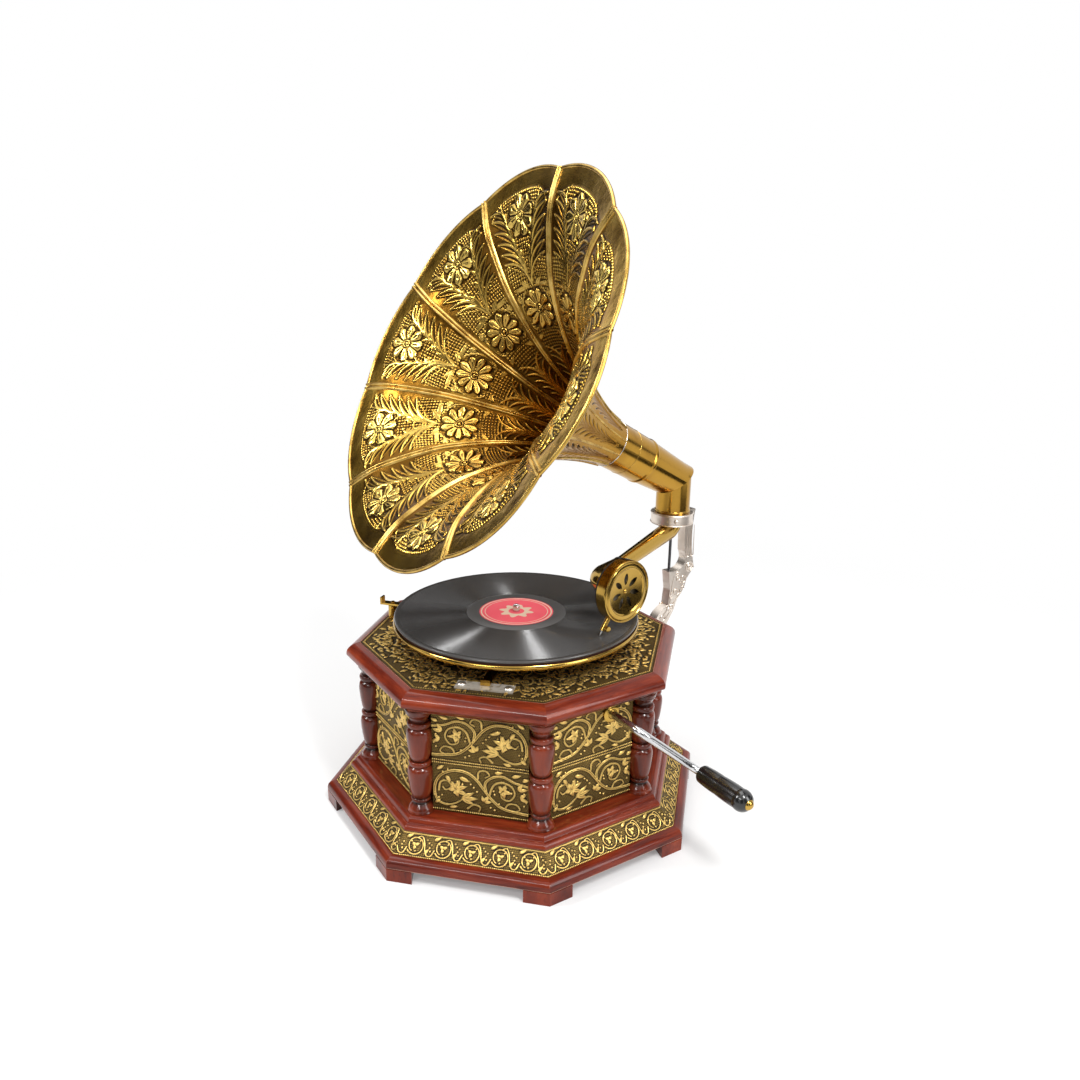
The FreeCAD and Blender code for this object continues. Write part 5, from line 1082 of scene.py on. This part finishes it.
surface = petal_surface(share)
down = np.gradient(surface, axis=0)
side = np.gradient(surface, axis=1)
facing = np.cross(side, down)
facing /= np.linalg.norm(facing, axis=-1, keepdims=True)
half_wide = (line[:, 1] * PETAL_TURN / 2)[:, None]
s = np.repeat(from_rim[:, None], PETAL_COLUMNS, 1)
w = half_wide * share[None, :]
margin = half_wide - np.abs(w)


def half_at(place):
    """Half the petal's width at a distance from the rim."""
    return float(np.interp(place, from_rim[::-1], half_wide[::-1, 0]))


def bow(first, pull, last, steps=9):
    """Points along a bent stroke."""
    points = []
    for step in range(steps + 1):
        t = step / steps
        weights = ((1 - t) ** 2, 2 * t * (1 - t), t * t)
        points.append(tuple(np.dot(weights, spots) for spots in zip(first, pull, last)))
    return points


# First field: an eight-petal flower on a beaded ground, between two feathered sprays
FLOWER_RADIUS = 19.5
FIELD_GAP = 20.5
FIRST_FLOWER = (41.0, 0.0)
SECOND_FLOWER = (127.0, 0.0)
sprays = [bow((104, 0), (72, 9 * hand), (21, hand * (half_at(21) - 24)), 14) for hand in (1, -1)]
spray_line = np.array(sprays[0])
spray_at = np.interp(from_rim, spray_line[::-1, 0], spray_line[::-1, 1])[:, None]
heart = (s > 19) & (s < 98) & (np.abs(w) < spray_at - 2.2)
heart &= np.hypot(s - FIRST_FLOWER[0], w) > FIELD_GAP
relief = np.where(heart, dots(s, w, 3.3, 2.9) * 0.46, 0)
arch = s - 20 - 30 * (np.abs(w) / half_wide) ** 5
relief = np.where((np.abs(arch) < 1.7) & (margin > 7), bead_row(w, arch, 3.0, 1.9) * 0.46, relief)
relief = np.maximum(relief, daisy(s, w, FIRST_FLOWER, FLOWER_RADIUS, 8, 0.2) * 0.95)
for hand, spray in zip((1, -1), sprays):
    relief = np.maximum(relief, ridge(s, w, spray, 3.4, 1.8) * 0.5)
    for root_s, root_w in spray[1:13:2]:
        far = max(root_s - 24, 24)
        end = (far, hand * (half_at(far) - 8.5))
        rise = end[1] - root_w
        frond = bow((root_s, root_w), (root_s - 17, root_w + 0.15 * rise), end)
        relief = np.maximum(relief, ridge(s, w, frond, 6.2, 1.6) * 0.5)
        vein = bow((root_s - 4, root_w + hand * 2.5), (root_s - 12, root_w + 0.5 * rise), end)
        relief = np.maximum(relief, ridge(s, w, vein, 2.2, 0.8) * 0.34)
    for index, (root_s, root_w) in enumerate(spray[3:13:2]):
        end = (root_s - 11, root_w - hand * (5 + index))
        tendril = bow((root_s, root_w), (root_s - 10, root_w + hand * 1.5), end)
        relief = np.maximum(relief, ridge(s, w, tendril, 3.6, 1.2) * 0.48)
    for foot_s, lean, size, wide in ((97, 0.2, 27, 6.5), (86, 0.55, 20, 5.5), (76, 0.95, 14, 5)):
        blade = leaf(s, w, (foot_s, 2.2 * hand), math.pi - lean * hand, size, wide)
        relief = np.maximum(relief, 0.5 * blade)

# Second field: a ten-petal flower in a garland, a block of beads, then leaves down the throat
GARLAND_RADIUS = 23
GARLAND_LEAVES = [(106, 4, 2.2, 17), (105, 9, 1.7, 18), (112, 18, 1.5, 13), (150, 10, 1.0, 13)]
patch = (s > 80) & (s < 166) & (margin > 6.5) & (relief < 0.05)
patch &= np.hypot(s - SECOND_FLOWER[0], w) > FIELD_GAP
relief = np.where(patch, np.maximum(relief, dots(s, w, 3.2, 2.8) * 0.44), relief)
relief = np.maximum(relief, daisy(s, w, SECOND_FLOWER, FLOWER_RADIUS, 10, 0.3) * 0.95)
for hand in (1, -1):
    garland = []
    for angle in np.linspace(0.7, 2.6, 16):
        across_at = hand * GARLAND_RADIUS * math.sin(angle)
        garland.append((SECOND_FLOWER[0] + GARLAND_RADIUS * math.cos(angle), across_at))
    relief = np.maximum(relief, ridge(s, w, garland, 2.4) * 0.42)
    for foot_s, foot_w, lean, size in GARLAND_LEAVES:
        relief = np.maximum(relief, 0.5 * leaf(s, w, (foot_s, foot_w * hand), hand * lean, size, 6))
    for step in range(8):
        root = 258 - step * 10.4
        far = root - 25 + step * 0.3
        stroke = bow((root, 0.4 * hand), (root - 17, 1.5 * hand), (far, hand * (half_at(far) - 4.2)))
        relief = np.maximum(relief, ridge(s, w, stroke, 5.8, 1.8) * 0.5)
for line_at in (166.5, 170):
    bar = np.clip(1 - ((s - line_at) / 1.1) ** 2, 0, 1) * 0.35
    relief = np.maximum(relief, np.where(margin > 6, bar, 0))
relief = np.maximum(relief, ridge(s, w, [(174, 0), (262, 0)], 2.4) * 0.45)
relief = relief * np.clip((margin - 4.5) / 2, 0, 1) * np.clip((s - 9.5) / 2, 0, 1)
PETAL_DEPTH = 2.4
SHEET = 0.9 * MM
depth = relief * PETAL_DEPTH * np.clip(0.35 + line[:, 1:2] / 120, 0, 1)
front = surface + facing * (depth * MM)[..., None]
back = front - facing * SHEET
points = np.concatenate([front.reshape(-1, 3), back.reshape(-1, 3)])
under = PETAL_ROWS * PETAL_COLUMNS
last = under - PETAL_COLUMNS
faces = grid_faces(PETAL_ROWS, PETAL_COLUMNS)
faces = [face[::-1] for face in faces] + [tuple(corner + under for corner in face) for face in faces]
sheet_edge = []
for column in range(PETAL_COLUMNS - 1):
    sheet_edge.append((column, column + 1))
    sheet_edge.append((last + column + 1, last + column))
for row in range(PETAL_ROWS - 1):
    near = row * PETAL_COLUMNS
    far = near + PETAL_COLUMNS - 1
    sheet_edge.append((near + PETAL_COLUMNS, near))
    sheet_edge.append((far, far + PETAL_COLUMNS))
faces += [(begin, end, end + under, begin + under) for begin, end in sheet_edge]
petal_mesh = mesh_of("horn_petal", points, faces, sharp=70)
streaks = 0.19 + 0.05 * np.sin(0.09 * w + 0.16 * s + 0.6)
plain_rim = np.clip((22 - s) / 4, 0, 1) * streaks
shown = np.concatenate([np.maximum(relief, plain_rim).ravel(), (0.4 - 0.4 * relief).ravel()])
mark(petal_mesh, "relief", shown)
sunk = np.clip((blurred(relief, 3) - relief) * 3.2, 0, 1)
proud = np.clip((relief - blurred(relief, 3)) * 2.0, 0, 1)
mark(petal_mesh, "hollow", np.concatenate([sunk.ravel(), proud.ravel()]))
# Painted shade: the front darkens towards the throat, and the whole outside of the horn is darkened
inward = np.clip((s - 70) / 95, 0, 1)
mark(petal_mesh, "deep", np.concatenate([inward.ravel(), np.full(inward.size, 0.8)]))


def horn_brass(name, reflection_gain):
    """Gold-toned brass, brown in the ground, bright on the raised work, with painted shade and a painted
    reflection gain.
    """
    horn = Finish(name, {"Specular IOR Level": 0.5, "Metallic": 1.0})
    # The last two colours are painted shade, for the throat and the outside
    worn_brown, mid_gold, bright_gold, painted_shade_brown, painted_shade_gold = [
        tuple(min(1.0, part * reflection_gain) for part in colour)
        for colour in (
            (0.24, 0.11, 0.013),
            (0.58, 0.34, 0.055),
            (0.96, 0.66, 0.16),
            (0.07, 0.024, 0.0015),
            (0.36, 0.14, 0.008),
        )
    ]
    raised = horn.attribute("relief")
    hollow = horn.attribute("hollow")
    cloud = horn.noise(18, 5)
    fleck = horn.noise(260, 3)
    deep = horn.attribute("deep")
    level = raised + (cloud - 0.5) * 0.9 + (fleck - 0.5) * 0.2
    tone = horn.ramp(level, (0.0, worn_brown), (0.22, mid_gold), (0.48, bright_gold))
    # Painted shade: towards the throat and on the outside, dark brown and dark gold take over
    tone = horn.mix(deep * 0.9, tone, horn.mix(raised * 1.6, painted_shade_brown, painted_shade_gold))
    tone = horn.mix(horn.step(hollow + (fleck - 0.5) * 0.3, 0.04, 0.42), tone, (0.035, 0.018, 0.004))
    rough = 0.2 - raised * 0.08 + cloud * 0.12 + hollow * 0.25
    horn.give({"Base Color": tone, "Roughness": rough})
    waves = horn.noise(34, 2)
    horn.bump(fleck * 0.12 + waves, 0.0024, 0.5)
    return horn.material


# Painted reflection: each petal's colours are scaled brighter or duller, as if it mirrored a different part
# of the room. From the top, clockwise as seen from the front
PETAL_PAINTED_REFLECTION = {"bright": 1.1, "plain": 0.92, "dull": 0.72}
PETAL_ORDER = ("dull", "bright", "bright", "plain", "plain", "dull", "bright", "plain", "dull", "dull")
petal_meshes = {}
# Three copies of the horn brass, lit and shaded, for the painted reflection
for reflection_level, reflection_gain in PETAL_PAINTED_REFLECTION.items():
    petal_meshes[reflection_level] = petal_mesh.copy()
    petal_meshes[reflection_level].materials.append(horn_brass("horn_brass_" + reflection_level, reflection_gain))


def petal_place(index):
    """Where a petal and its seam sit, counted from the top."""
    return horn_place @ Matrix.Rotation(-HORN_ROLL - PETAL_TURN / 2 - index * PETAL_TURN, 4, "Z")


for index, reflection_level in enumerate(PETAL_ORDER):
    petal_name = "horn_petal_%d" % (index + 1)
    petal = put(petal_name, petal_meshes[reflection_level], None, "horn", petal_place(index))
    if index == 0:
        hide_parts("horn_petals")

# Horn seams and rim
# The petal edges are folded over one another and hammered into a double ridge. The rim is rolled
# over a wire so that it has no sharp edge.


def strip_along(name, path, facing, across, half_widths, section):
    """A strip laid along a path: its section gives sideways share and height."""
    points = []
    for spot, up, side, half in zip(path, facing, across, half_widths):
        for sideways, height in section:
            points.append(spot + side * (sideways * half) + up * height)
    return grid_mesh(name, points, len(section), 60)


seam_surface = petal_surface(np.array([-1.0]))[:, 0]
seam_down = np.gradient(seam_surface, axis=0)
seam_down /= np.linalg.norm(seam_down, axis=-1, keepdims=True)
turn = -PETAL_TURN / 2
seam_side = np.repeat(np.array([[math.cos(turn), -math.sin(turn), 0]]), PETAL_ROWS, 0)
seam_up = np.cross(seam_side, seam_down)
SEAM_STEPS = 24
SEAM_HEIGHT = 1.9
SEAM_SINK = 0.25
SEAM_BACK = 1.5
seam_front_section = []
seam_back_section = []
for step in range(SEAM_STEPS + 1):
    place = 2 * step / SEAM_STEPS - 1
    ridge_height = max(0.0, math.sin(abs(place) * math.pi)) ** 0.8 * SEAM_HEIGHT
    seam_front_section.append((place, (ridge_height - SEAM_SINK) * MM))
    hump = max(0.0, math.cos(place * math.pi / 2)) * SEAM_BACK * MM
    seam_back_section.append((place * 0.62, -SHEET - hump))
seam_half = np.interp(line[:, 1], [25, 70, 196], [1.9, 3.0, 4.3]) * MM
seam_lay = (seam_surface, seam_up, seam_side, seam_half)
seam_mesh = strip_along("horn_seam", *seam_lay, seam_front_section)
seam_back = strip_along("horn_seam_back", *seam_lay, seam_back_section[::-1])


def seam_brass():
    """Plain brass in patches of brighter and duller metal."""
    seam = Finish("seam_brass", {"Metallic": 1.0})
    cloud = seam.noise(70, 4)
    tone = seam.ramp(
        cloud, (0.3, (0.32, 0.175, 0.035)), (0.55, (0.6, 0.39, 0.1)), (0.75, (0.8, 0.56, 0.19))
    )
    seam.give({"Base Color": tone, "Roughness": 0.2 + cloud * 0.16})
    seam.bump(cloud, 0.0003, 0.2)
    return seam.material


seam_finish = seam_brass()
for index in range(PETALS):
    for name, mesh in (("horn_seam", seam_mesh), ("horn_seam_back", seam_back)):
        put("%s_%d" % (name, index + 1), mesh, seam_finish, "horn", petal_place(index))

ROLL_SIDES = 10
ROLL_RADIUS = 1.9 * MM
rim_points = surface[-1] - facing[-1] * 0.6 * MM
rim_way = surface[-1] - surface[-2]
rim_way /= np.linalg.norm(rim_way, axis=-1, keepdims=True)
points = []
for spot, outward, up in zip(rim_points, rim_way * ROLL_RADIUS, facing[-1] * ROLL_RADIUS):
    points += ring_round(spot - outward, outward, up, ROLL_SIDES)
roll_mesh = grid_mesh("horn_rim", points, ROLL_SIDES + 1, 180)
for index in range(PETALS):
    put("horn_rim_%d" % (index + 1), roll_mesh, seam_finish, "horn", petal_place(index))

# Tone arm and sound box
# Drawn brass tube that swings under the ring. A rubber gasket lets the gooseneck turn, and the
# gooseneck carries the sound box: brass case, rubber back, slotted cover over a mica diaphragm.
paint(brass, "tonearm", "gooseneck", "soundbox_case", "needle_holder", "needle_screw")
paint(rubber, "gasket", "soundbox_rubber")
paint(steel, "needle")

BOX_HEADING = math.radians(9.0)
cover_low, cover_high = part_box("soundbox_cover")
cover_radius = (cover_high.z - cover_low.z) / 2
cover_way = Vector((math.cos(BOX_HEADING), math.sin(BOX_HEADING), 0))
cover_run = cover_high.x - cover_low.x - 2 * cover_radius * math.sin(BOX_HEADING)
cover_middle = (cover_low + cover_high) / 2 + cover_way * cover_run / math.cos(BOX_HEADING) / 2
cover_place = Matrix.Translation(cover_middle) @ cover_way.to_track_quat("Z", "X").to_matrix().to_4x4()
# Radius and depth behind the front plane, in millimetres, from the edge to the dish
FLANGE_EDGE = 31
FLANGE = [
    (FLANGE_EDGE, -2.7), (31, -0.9), (30.7, -0.2), (30.1, 0), (29.4, -0.1), (28.9, -0.7), (28.3, -0.75),
    (27.9, -0.35), (27.2, -0.3), (25.4, -0.3), (24.9, -0.1), (24.3, 0), (23.6, -0.2), (23.0, -0.8),
    (22.5, -1.1),
]
flange_outline = [(radius * cover_radius / FLANGE_EDGE, depth * MM) for radius, depth in FLANGE]
flange_mesh = turned_mesh("soundbox_flange", flange_outline[::-1], 120, 40)
SLOTS = 7
SLOT_LOW, SLOT_HIGH, SLOT_WIDE = 6.5, 18.6, 5.4
DISH_ROWS = 44
DISH_COLUMNS = 10
DISH_HOLE = 2.0
DISH_EDGE = 22.5
DISH_THICK = 0.8
dish_points = []
dish_faces = []
wide = 2 * DISH_COLUMNS
for sector in range(SLOTS):
    for hand in (1, -1):
        first = len(dish_points)
        for row in range(DISH_ROWS):
            radius = DISH_HOLE + (DISH_EDGE - DISH_HOLE) * row / (DISH_ROWS - 1)
            inside = min(max((radius - SLOT_LOW) / (SLOT_HIGH - SLOT_LOW), 0), 1)
            bow_out = math.sin(math.pi * inside**1.1) ** 0.6 if 0 < inside < 1 else 0
            slot_angle = math.asin(min(SLOT_WIDE / 2 * bow_out / radius, 1))
            depth = -1.1 - 1.7 * (1 - (radius / DISH_EDGE) ** 2)
            for layer in (depth, depth - DISH_THICK):
                for column in range(DISH_COLUMNS):
                    share = column / (DISH_COLUMNS - 1)
                    angle = hand * (slot_angle + (math.pi / SLOTS - slot_angle) * share)
                    angle += sector * 2 * math.pi / SLOTS
                    spot = Vector((radius * math.cos(angle), radius * math.sin(angle), layer))
                    dish_points.append(spot * MM)
        for row in range(DISH_ROWS - 1):
            begin = first + row * wide
            strip = []
            for corner in range(begin, begin + DISH_COLUMNS - 1):
                strip.append((corner, corner + wide, corner + wide + 1, corner + 1))
            strip.append((begin, begin + DISH_COLUMNS, begin + wide + DISH_COLUMNS, begin + wide))
            dish_faces += strip if hand > 0 else [face[::-1] for face in strip]
dish_mesh = mesh_of("soundbox_dish", dish_points, dish_faces, sharp=50)
# Radius and height, in millimetres, from the foot to the tip
KNOB = [(2.4, -3.2), (2.3, -2.4), (1.9, -1.85), (1.0, -1.45), (0.02, -1.4)]
knob_mesh = turned_mesh("soundbox_knob", [(radius * MM, rise * MM) for radius, rise in KNOB], 40, 50)
flange = put("soundbox_flange", flange_mesh, brass, "sound_box", cover_place)
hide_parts("soundbox_cover")
put("soundbox_dish", dish_mesh, brass, "sound_box", cover_place)
put("soundbox_knob", knob_mesh, brass, "sound_box", cover_place)


def mica_sheet():
    """Split mica: smoky and shiny."""
    mica = Finish("mica", {"Specular IOR Level": 0.6})
    cloud = mica.noise(120, 3)
    tone = mica.mix(cloud, (0.06, 0.05, 0.035), (0.2, 0.16, 0.1))
    mica.give({"Base Color": tone, "Roughness": 0.12 + cloud * 0.2})
    return mica.material


paint(mica_sheet(), "diaphragm")

# Speed lever and brake
# Small pieces on the deck: a riveted plate with its nickel nearly worn off, the brass speed lever over
# it, and a bent brass brake tab by the turntable's edge.


def worn_nickel():
    """Thin nickel, greyed and matt, with the brass showing in the rubs."""
    nickel = Finish("worn_nickel", {"Metallic": 0.35})
    cloud = nickel.noise(90, 4)
    rub = nickel.step(nickel.noise(210, 3), 0.52, 0.66)
    tone = nickel.mix(cloud, (0.3, 0.27, 0.23), (0.5, 0.46, 0.4))
    tone = nickel.mix(rub * 0.7, tone, (0.16, 0.12, 0.06))
    nickel.give({"Base Color": tone, "Roughness": 0.32 + cloud * 0.2})
    nickel.bump(cloud, 0.0002, 0.3)
    return nickel.material


paint(worn_nickel(), "speed_plate")
paint(brass, "speed_lever", "brake_post", "brake_lever")
plate_low, plate_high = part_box("speed_plate")
RIVET_SPAN = 22.0 * MM
RIVET_RADIUS = 4.2 * MM
RIVET_RISE = 2.2 * MM
rivet_dome = [
    (RIVET_RADIUS * math.cos(angle), RIVET_RISE * math.sin(angle))
    for angle in np.linspace(0, math.pi / 2 - 0.02, 9)
]
rivet_mesh = turned_mesh("speed_rivet", rivet_dome, 40, 180)
for index, hand in enumerate((1, -1)):
    spot = (plate_low + plate_high) / 2 + Vector((1, 1, 0)).normalized() * RIVET_SPAN * hand
    rivet_place = Matrix.Translation((spot.x, spot.y, plate_high.z))
    put("speed_rivet_%d" % (index + 1), rivet_mesh, solder, "base", rivet_place)

# Studio
# A white floor under soft lamps, with dark cards round the set, unseen by the camera, that give the
# polished brass something to reflect.
PHOTO_CAMERA = Vector((0.724877, -0.441816, 0.535528))
PHOTO_AZIMUTH = math.radians(57.056)
PHOTO_ELEVATION = math.radians(16.803)
PHOTO_ROLL = math.radians(0.743)
PHOTO_LENS = 29.344
SENSOR = 36.0

camera_data = bpy.data.cameras.new("photo_camera")
camera_data.lens = PHOTO_LENS
camera_data.sensor_width = SENSOR
camera_data.clip_start = 0.01
camera_turn = (
    Matrix.Rotation(PHOTO_AZIMUTH, 4, "Z")
    @ Matrix.Rotation(math.pi / 2 - PHOTO_ELEVATION, 4, "X")
    @ Matrix.Rotation(PHOTO_ROLL, 4, "Z")
)
camera_place = Matrix.Translation(PHOTO_CAMERA) @ camera_turn
bpy.context.scene.camera = new_object("photo_camera", camera_data, camera_place)


def flat_mesh(name, wide, tall):
    """A flat rectangle about its middle."""
    east, north = wide / 2, tall / 2
    corners = [(-east, -north, 0), (east, -north, 0), (east, north, 0), (-east, north, 0)]
    return mesh_of(name, corners, [(0, 1, 2, 3)])


def seen_or_mirrored(finish):
    """1 for what the camera sees, straight, mirrored or through something clear, else 0."""
    seen = finish.node("ShaderNodeLightPath", output="Is Camera Ray")
    for ray in ("Is Glossy Ray", "Is Transmission Ray"):
        seen = seen.maths("MAXIMUM", seen, finish.node("ShaderNodeLightPath", output=ray))
    return seen


FLOOR_SIZE = 12.0
WHITE = (1, 1, 1)
paper_sockets = {"Base Color": (0.8, 0.8, 0.8), "Roughness": 0.9, "Specular IOR Level": 0.0}
floor_paper = Finish("floor_paper", paper_sockets)
flat_place = floor_paper.place((1, 1, 0))
spread = floor_paper.node("ShaderNodeVectorMath", {"operation": "LENGTH"}, {0: flat_place}, 1)
lit = 0.22 + floor_paper.step(spread, 0.25, 1.15) * 0.78
glow = floor_paper.node("ShaderNodeEmission", None, {"Color": WHITE})
matt = Value(floor_paper, floor_paper.shader.outputs[0])
floor_mix = {0: seen_or_mirrored(floor_paper) * lit, 1: matt, 2: glow}
floor_blend = floor_paper.node("ShaderNodeMixShader", None, floor_mix)
floor_paper.plug(floor_paper.tree.nodes["Material Output"].inputs[0], floor_blend)
floor_mesh = flat_mesh("floor", FLOOR_SIZE, FLOOR_SIZE)
floor_mesh.materials.append(floor_paper.material)
new_object("floor", floor_mesh)


class Surround(Finish):
    """The world's light in the making, with the same nodes."""

    def __init__(self, name):
        world = bpy.data.worlds.new(name)
        bpy.context.scene.world = world
        world.use_nodes = True
        self.tree = world.node_tree
        self.shader = self.tree.nodes["Background"]
        self.give({"Color": WHITE, "Strength": 0.5})


studio = Surround("studio")
dim = Value(studio, studio.shader.outputs[0])
full = studio.node("ShaderNodeBackground", None, {"Color": WHITE, "Strength": 1.0})
studio_mix = {0: seen_or_mirrored(studio), 1: dim, 2: full}
studio_blend = studio.node("ShaderNodeMixShader", None, studio_mix)
studio.plug(studio.tree.nodes["World Output"].inputs[0], studio_blend)


def looking(spot, aim):
    """A place from which something looks at a point."""
    way = Vector(aim) - Vector(spot)
    return Matrix.Translation(spot) @ way.to_track_quat("-Z", "Y").to_matrix().to_4x4()


# Soft boxes as name, place, height of the point on the axis they look at, size and power
for name, spot, aim, size, power in (
    ("key", (1.2, -0.05, 1.8), 0.3, (0.3, 0.6), 22),
    ("front", (-0.59, -1.46, 1.45), 0.3, (0.25, 0.6), 16),
    ("strip", (0.67, -1.17, 1.2), 0.2, (0.55, 0.1), 5),
    ("side", (1.5, 0.7, 0.9), 0.25, (0.5, 1.0), 10),
    ("top", (-0.3, 0.1, 1.9), 0.2, (1.2, 1.2), 16),
):
    lamp = bpy.data.lights.new(name, "AREA")
    lamp.shape = "RECTANGLE"
    lamp.size, lamp.size_y = size
    lamp.energy = power
    new_object(name, lamp, looking(spot, (0, 0, aim)))

# Dark cards as name, place and size
CARD_AIM = (0, 0, 0.35)
felt_sockets = {"Base Color": (0.02, 0.018, 0.016), "Roughness": 0.9, "Specular IOR Level": 0.0}
for name, spot, size in (
    ("card_front", (-0.4, -2.3, 1.3), (2.0, 1.6)),
    ("card_left", (-2.0, -1.1, 0.9), (1.5, 1.9)),
    ("card_right", (2.2, -0.1, 0.9), (1.0, 1.7)),
    ("card_camera", (1.7, -1.4, 0.7), (1.1, 1.7)),
    ("card_behind", (1.5, 1.8, 1.25), (1.4, 1.1)),
    ("card_back", (-1.9, 1.2, 0.9), (1.6, 1.8)),
    ("card_top", (0.1, 0.7, 2.4), (1.2, 1.3)),
    ("card_low_right", (0.52, 0.54, 0.09), (0.62, 0.17)),
    ("card_low_front", (0.2, -1.2, 0.2), (0.9, 0.4)),
):
    card_mesh = flat_mesh(name, *size)
    card_mesh.materials.append(Finish(name + "_felt", felt_sockets).material)
    card = new_object(name, card_mesh, looking(spot, CARD_AIM))
    card.visible_camera = False
    card.visible_shadow = False
    card.visible_diffuse = False

bpy.context.scene.view_settings.view_transform = "Standard"
